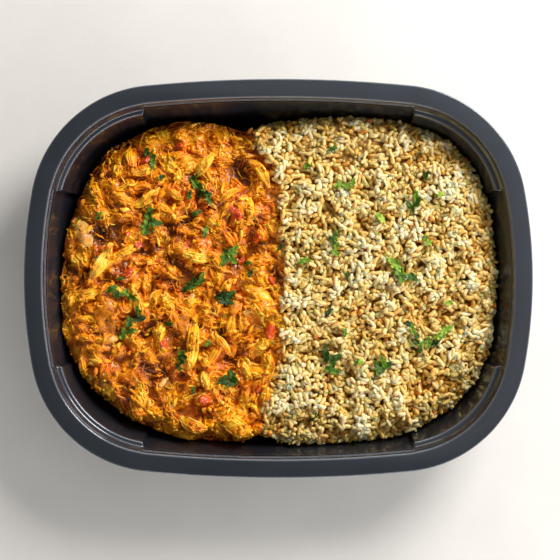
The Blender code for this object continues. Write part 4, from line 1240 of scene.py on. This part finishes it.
def crumb_tree():
    """Sets crumbs on points: round balls whose surface is pushed in and out by a noise."""
    tree, group_input = new_tree("crumbs", Lumpiness=CRUMB_LUMPINESS)
    ball = add_node(tree, "GeometryNodeMeshIcoSphere", Radius=1.0, Subdivisions=2)
    outward = tree.nodes.new("GeometryNodeInputPosition").outputs[0]
    lumpy = roughened(tree, ball.outputs["Mesh"], outward, 1.1, group_input.outputs["Lumpiness"])
    set_on_points(tree, group_input, lumpy)
    return tree


rows, columns = np.nonzero(laid.inside)
picks = random.integers(len(rows), size=CRUMB_COUNT)
crumb_x = laid.low[0] + (columns[picks] + random.uniform(-0.5, 0.5, CRUMB_COUNT)) * laid.cell
crumb_y = laid.low[1] + (rows[picks] + random.uniform(-0.5, 0.5, CRUMB_COUNT)) * laid.cell
crumb_radius = random.uniform(*CRUMB_RADIUS, CRUMB_COUNT)
crumb_places = np.column_stack((crumb_x, crumb_y, laid.at(crumb_x, crumb_y) + 0.15 * crumb_radius))
crumb_places += [clear_of_tray(*place, radius) for place, radius in zip(crumb_places, crumb_radius)]
crumb_sizes = crumb_radius[:, None] * random.uniform(0.6, 1.5, (CRUMB_COUNT, 3)) * MM
# The crumbs take the bed's tone where they lie, painted light and shade included, and a tone of their own.
crumb_tones_with_shade = curry_relief(crumb_x, crumb_y, meat_clumps)[1] + random.normal(0.06, 0.13, CRUMB_COUNT)
crumb_points = point_mesh(
    "curry_crumbs", crumb_places, turn=random.uniform(*ANY_TURN, (CRUMB_COUNT, 3)), size=crumb_sizes,
    tone=np.clip(crumb_tones_with_shade, 0.0, 1.0),
)
crumbs = apply_tree(
    "curry_crumbs", crumb_points, crumb_tree(), Lumpiness=CRUMB_LUMPINESS, Finish=meat_finish,
)
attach(crumbs, "root")


# The tomato, onion and pepper in the curry.
# Soft red bits of tomato and stewed slices of onion and orange pepper, half sunk in the sauce, with a wet
# skin: lumpy, flattened balls that follow the heights below them.
BIT_FINENESS = 4
# Each bit: middle x and y, half length, half width, turn in degrees.
TOMATO_BITS = (
    (-19.0, 29.0, 3.8, 2.2, -50.0), (-4.0, -24.0, 3.4, 2.2, 80.0), (-34.0, -55.0, 3.2, 2.0, 0.0),
    (-68.0, 2.5, 2.8, 1.8, 20.0), (-63.0, 15.0, 1.8, 1.4, 0.0), (-17.0, 8.0, 1.8, 1.2, 40.0),
    (-45.0, 60.0, 2.0, 1.2, 10.0), (-9.0, -50.0, 2.0, 1.2, 70.0), (-68.5, 20.0, 1.6, 1.3, 0.0),
    (-60.0, 53.5, 2.4, 1.3, 35.0), (-10.0, 18.0, 2.6, 1.4, 80.0), (-52.0, -30.0, 2.2, 1.3, 120.0),
    (-3.0, -1.0, 2.2, 1.2, 100.0),
)
ONION_SLICES = (
    (-88.0, 20.5, 6.4, 3.7, 118.0), (-74.5, -27.5, 2.4, 1.3, 10.0), (-39.5, -8.5, 2.2, 1.4, 60.0),
    (-30.0, 33.0, 2.6, 1.0, -30.0), (-52.0, -47.0, 3.0, 1.1, 50.0), (-14.0, -15.0, 2.6, 1.0, 20.0),
)
PEPPER_SLICES = (
    (-78.0, -20.0, 7.6, 4.4, 98.0), (-42.5, -20.5, 5.2, 2.8, 85.0), (-20.0, -13.5, 3.8, 2.4, 60.0),
)


def lumpy_bits(name, bits, thickness, lumpiness, finish, seed):
    """One mesh of flattened, lumpy balls that lie on the heap."""
    shape = bmesh.new()
    for index, (x, y, half_length, half_width, turn) in enumerate(bits):
        turned = math.radians(turn)
        for vert in bmesh.ops.create_icosphere(shape, subdivisions=BIT_FINENESS, radius=1.0)["verts"]:
            u, v, w = vert.co
            noise = float(wavy(np.array(1.7 * u + 7.0 * index), np.array(1.7 * v + w), seed))
            lump = 1.0 + lumpiness * (noise - 0.5)
            along, across = u * half_length * lump, v * half_width * lump
            place_x, place_y = turned_place(x, y, along, across, turned)
            ground = float(even_ground.at(np.array(place_x), np.array(place_y)))
            vert.co = Vector((place_x, place_y, ground + 0.25 * thickness + w * thickness / 2 * lump)) * MM
    mesh = mesh_of(shape, name)
    mesh.shade_smooth()
    mesh.materials.append(finish)
    made = new_object(name, mesh)
    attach(made, "root")


tomato_finish, tree, shader = new_material(
    "stewed_tomato", (0.60, 0.05, 0.004, 1.0), 0.22, Coat_Weight=0.5, Coat_Roughness=0.08,
    Subsurface_Weight=0.25, Subsurface_Scale=0.002,
)
mottle(tree, shader, noise_value(tree, 1.8), (0.40, 0.020, 0.002), (0.80, 0.110, 0.006))
add_bump(tree, shader, noise_value(tree, 0.9, 4.0), 0.30)
onion_finish, tree, shader = new_material(
    "stewed_onion", (0.85, 0.55, 0.20, 1.0), 0.25, Coat_Weight=0.4, Coat_Roughness=0.10,
    Subsurface_Weight=0.5, Subsurface_Scale=0.003,
)
mottle(tree, shader, noise_value(tree, 4.0), (0.88, 0.31, 0.020), (0.95, 0.49, 0.13))
add_bump(tree, shader, noise_value(tree, 1.0, 3.0), 0.20)
pepper_finish, tree, shader = new_material(
    "stewed_pepper", (0.50, 0.16, 0.008, 1.0), 0.34, Coat_Weight=0.12, Coat_Roughness=0.15,
    Subsurface_Weight=0.25, Subsurface_Scale=0.002, Specular_IOR_Level=0.25,
)
mottle(tree, shader, noise_value(tree, 2.2, 3.0), (0.36, 0.085, 0.002), (0.78, 0.27, 0.008))
add_bump(tree, shader, noise_value(tree, 1.1, 4.0), 0.45)
even_ground = laid.blurred(8)
lumpy_bits("tomato_bits", TOMATO_BITS, thickness=2.6, lumpiness=0.5, finish=tomato_finish, seed=9)
lumpy_bits("onion_slices", ONION_SLICES, thickness=1.5, lumpiness=0.25, finish=onion_finish, seed=10)
lumpy_bits("pepper_slices", PEPPER_SLICES, thickness=1.7, lumpiness=0.6, finish=pepper_finish, seed=12)


# The parsley.
# Chopped flat parsley, strewn over both sides: leaflets with notched, toothed and curling edges, some cut
# straight by the knife, a few stems and small flecks. Each leaflet is a fan of faces draped over what it
# lies on, and Solidify makes it as thin as a leaf.
LEAF_THICKNESS = 0.22
LEAF_RINGS = 6
LEAF_STEPS = 42
TINY_FLECKS = 26
FLECK_LENGTH = (0.5, 1.1)
FLECK_WIDTH = (0.4, 0.7)
# Each leaf: middle x and y, half length, half width, turn in degrees, tone.
RICE_LEAVES = (
    (30.5, 42.0, 5.2, 3.0, 10.0, 0.45), (61.0, 34.5, 4.4, 2.8, 65.0, 0.55),
    (25.5, 15.5, 6.0, 2.6, 100.0, 0.40), (55.5, 2.5, 7.6, 4.2, -35.0, 0.70),
    (61.5, -26.0, 8.2, 2.3, 112.0, 0.35), (72.0, -27.0, 7.2, 3.0, 34.0, 0.65),
    (23.5, -37.0, 6.8, 4.2, 100.0, 0.20), (46.5, -39.5, 4.8, 3.8, 60.0, 0.40),
)
CURRY_LEAVES = (
    (-57.5, 55.0, 5.0, 3.0, 110.0, 0.35), (-35.0, 40.5, 7.6, 2.6, -48.0, 0.35),
    (-58.0, 25.5, 5.6, 3.6, 75.0, 0.40), (-22.0, 9.5, 4.9, 4.2, 20.0, 0.20),
    (-70.5, -7.0, 7.4, 3.4, -12.0, 0.55), (-66.0, -20.5, 8.6, 3.2, 58.0, 0.35),
    (-38.0, -2.5, 6.4, 2.5, 36.0, 0.40), (-23.5, -8.5, 4.2, 3.8, 0.0, 0.15),
    (-22.5, -46.5, 5.0, 3.4, 25.0, 0.50),
)
# Each flake: middle x and y, half length, turn in degrees, tone.
RICE_FLAKES = (
    (13.5, 52.0, 3.2, 60.0, 0.70), (72.0, 37.5, 2.6, 20.0, 0.75), (46.0, 27.5, 3.4, -50.0, 0.80),
    (67.0, 17.0, 3.0, 110.0, 0.75), (11.5, 8.0, 3.0, 20.0, 0.60), (31.0, 1.0, 2.6, 80.0, 0.20),
    (23.0, -14.5, 2.4, 60.0, 0.20), (76.5, -11.0, 2.4, 20.0, 0.75), (30.0, -24.0, 2.2, 100.0, 0.70),
    (36.0, -37.5, 2.6, 0.0, 0.75), (15.5, -62.5, 2.8, 45.0, 0.40), (66.5, 46.5, 2.2, 70.0, 0.20),
    (24.5, 58.5, 2.4, 20.0, 0.35),
)
CURRY_FLAKES = (
    (-53.0, 45.5, 2.2, 30.0, 0.30), (-81.0, 28.5, 2.6, 60.0, 0.50), (-37.0, 29.5, 2.6, 20.0, 0.35),
    (-33.0, 21.0, 2.8, 80.0, 0.40), (-49.5, -20.5, 2.4, 0.0, 0.35), (-32.0, -29.5, 2.2, 40.0, 0.40),
    (-43.5, -36.0, 3.4, 70.0, 0.30), (-38.5, -50.5, 2.2, 90.0, 0.40), (-14.0, 7.0, 2.0, 10.0, 0.40),
    (-45.0, -40.0, 2.2, 130.0, 0.30), (-12.5, 2.5, 2.2, 50.0, 0.35), (0.5, 14.0, 1.8, 80.0, 0.25),
    (-44.0, -33.5, 2.0, 20.0, 0.45), (-71.0, 0.0, 2.0, 20.0, 0.30), (-40.0, 37.5, 2.4, 80.0, 0.45),
)
# Each stem: middle x and y, length, turn in degrees, tone.
STEMS = (
    (-36.0, 41.5, 14.0, -42.0, 0.60), (51.5, 7.0, 12.0, -38.0, 0.85), (60.0, -31.0, 9.0, 105.0, 0.60),
    (-64.0, -15.0, 12.0, 70.0, 0.40), (26.0, 20.0, 8.0, 95.0, 0.60), (-40.0, -1.0, 8.0, 30.0, 0.40),
)
STEM_RADIUS = 0.38
STEM_LIFT = 0.5


class Leaves:
    """Leaflets of one side of the tray, gathered for one piece."""

    def __init__(self, ground):
        raised = np.nan_to_num(ground.z, nan=-1.0)
        for shift in ((0, 1), (0, -1), (1, 0), (-1, 0), (0, 2), (0, -2), (2, 0), (-2, 0)):
            raised = np.fmax(raised, np.roll(np.nan_to_num(ground.z, nan=-1.0), shift, (0, 1)))
        self.ground = ground.blurred(1)
        self.ground.z = np.where(raised < 0.0, np.nan, raised)
        self.ground = self.ground.blurred(4)
        self.places, self.faces, self.tones = [], [], []

    def add(self, x, y, half_length, half_width, turn, tone, random):
        """One leaflet: a lobed, toothed fan, folded along its midrib, ruffled, and often cut straight."""
        first = len(self.places)
        lobes = int(random.integers(3, 6))
        phase, fold = random.uniform(*ANY_TURN), random.uniform(0.10, 0.42)
        ruffle = random.uniform(0.09, 0.20) * half_width
        curl, tilt = random.normal(0.0, 0.12) * half_length, random.normal(0.0, 0.28)
        angles = 2 * math.pi * np.arange(LEAF_STEPS) / LEAF_STEPS
        notch = 0.48 + 0.52 * np.abs(np.cos(lobes * angles / 2 + 0.3 * np.sin(angles + phase))) ** 0.8
        teeth = 1.0 - 0.15 * np.abs(np.sin(2.5 * lobes * angles + phase))
        oval = 1.0 / np.hypot(np.cos(angles) / half_length, np.sin(angles) / half_width)
        knife = random.uniform(*ANY_TURN)
        cut = random.uniform(0.35, 1.3) * half_width
        spots = [(0.0, 0.0, 0.0, 0.0)]
        for ring in range(1, LEAF_RINGS + 1):
            share = ring / LEAF_RINGS
            reach = oval * share * (1 + share * (notch * teeth - 1))
            for angle, far in zip(angles, reach):
                u, v = far * math.cos(angle), far * math.sin(angle)
                beyond = max(0.0, u * math.cos(knife) + v * math.sin(knife) - cut) * 0.98
                spots.append((u - beyond * math.cos(knife), v - beyond * math.sin(knife), share, angle))
        for u, v, share, angle in spots:
            spot_x, spot_y = turned_place(x, y, u, v, turn)
            ground_z = float(self.ground.at(np.array(spot_x), np.array(spot_y)))
            if math.isnan(ground_z):
                ground_z = float(self.ground.at(np.array(x), np.array(y)))
            crease = math.sin(lobes * angle + phase)
            wave = ruffle * share * share * (crease + 0.5 * math.sin(2.0 * lobes * angle))
            lift = 0.45 + wave + fold * abs(v) + tilt * v * 0.5 + curl * (u / half_length) ** 2
            self.places.append((spot_x, spot_y, ground_z + max(0.12, lift)))
            # Painted light and shade: each leaflet is paler on its ruffles' crests, darker in their troughs,
            # and darker towards its low, folded middle.
            self.tones.append(tone + 0.16 * crease * share - 0.12 * (1 - share))
        for step in range(LEAF_STEPS):
            after = (step + 1) % LEAF_STEPS
            self.faces.append((first, first + 1 + step, first + 1 + after))
            for ring in range(LEAF_RINGS - 1):
                inner, outer = first + 1 + ring * LEAF_STEPS, first + 1 + (ring + 1) * LEAF_STEPS
                self.faces.append((inner + step, outer + step, outer + after, inner + after))

    def add_spray(self, x, y, half_length, half_width, turn, tone, random):
        """A chopped leaf: leaflets side by side along its length, turned to both sides."""
        count = max(3, round(half_length / half_width * 1.9))
        for step in range(count):
            along = (step - (count - 1) / 2) * 2 * (half_length - half_width * 0.7) / max(1, count - 1)
            side = (-1) ** step * half_width * random.uniform(0.1, 0.45)
            spot_x, spot_y = turned_place(x, y, along, side, turn)
            size = half_width * random.uniform(0.75, 1.05)
            self.add(
                spot_x, spot_y, size * 1.3, size * 0.66, turn + (-1) ** step * 0.6 + random.normal(0.0, 0.4),
                tone + random.normal(0.0, 0.20), random,
            )

    def piece(self, name, finish):
        mesh = bpy.data.meshes.new(name)
        mesh.from_pydata((np.array(self.places) * MM).tolist(), [], self.faces)
        set_values(mesh, "tone", np.clip(self.tones, 0.0, 1.0))
        mesh.materials.append(finish)
        mesh.shade_smooth()
        made = new_object(name, mesh)
        thin = made.modifiers.new("thin", "SOLIDIFY")
        thin.thickness = LEAF_THICKNESS * MM
        thin.offset = 0.0
        return made


leaf_finish, tree, shader = new_material(
    "parsley", (0.08, 0.20, 0.01, 1.0), 0.48, Subsurface_Weight=0.15, Subsurface_Scale=0.001,
    Specular_IOR_Level=0.25,
)
veins = math_node(tree, "MULTIPLY_ADD", noise_value(tree, 1.3, 3.0), 0.8, -0.40)
leaf_green = ramp(
    tree, math_node(tree, "ADD", attribute_value(tree, "tone"), veins), (0.0, (0.008, 0.034, 0.002)),
    (0.35, (0.042, 0.110, 0.004)), (0.65, (0.150, 0.280, 0.012)), (1.0, (0.400, 0.520, 0.070)),
)
join(tree, leaf_green, shader.inputs["Base Color"])
add_bump(tree, shader, noise_value(tree, 0.7, 2.0), 0.14)
for side, ground, sprays, flakes in (
    ("rice", pile, RICE_LEAVES, RICE_FLAKES), ("curry", laid, CURRY_LEAVES, CURRY_FLAKES),
):
    leaves = Leaves(ground)
    for x, y, half_length, half_width, turn, tone in sprays:
        leaves.add_spray(x, y, half_length, half_width, math.radians(turn), tone, random)
    covered = [f"parsley_{side}_{number}" for number in range(1, len(sprays) + 1)]
    for x, y, half_length, turn, tone in flakes:
        turned = math.radians(turn)
        for step in (-0.35, 0.35):
            leaves.add(
                *turned_place(x, y, step * half_length, 0.0, turned), half_length * 0.75,
                half_length * random.uniform(0.4, 0.6), turned + random.normal(0.0, 0.5),
                tone + random.normal(0.0, 0.15), random,
            )
    rows, columns = np.nonzero(ground.inside)
    for pick in random.integers(len(rows), size=TINY_FLECKS):
        x, y = ground.low[0] + columns[pick] * ground.cell, ground.low[1] + rows[pick] * ground.cell
        leaves.add(
            x, y, random.uniform(*FLECK_LENGTH), random.uniform(*FLECK_WIDTH), random.uniform(*ANY_TURN),
            random.uniform(0.1, 0.8), random,
        )
    piece = leaves.piece(f"parsley_on_{side}", leaf_finish)
    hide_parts(*covered)
    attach(piece, "root")

stems = Strands()
for x, y, length, turn, tone in STEMS:
    ground = laid if x < 0 else pile
    path = lay_path(
        ground, x, y, math.radians(turn), length, bend=0.6, wiggle=0.06, radius=STEM_RADIUS, lift=0.8,
        random=random, spill=0.0,
    )
    if path is not None:
        stems.add(path + np.array((0.0, 0.0, STEM_LIFT)), tapered(len(path), STEM_RADIUS, 0.6), tone)
piece = stems.piece("parsley_stems", meat_tree, Sides=8, Flatness=0.9, Roughen=0.05 * MM, Finish=leaf_finish)
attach(piece, "root")
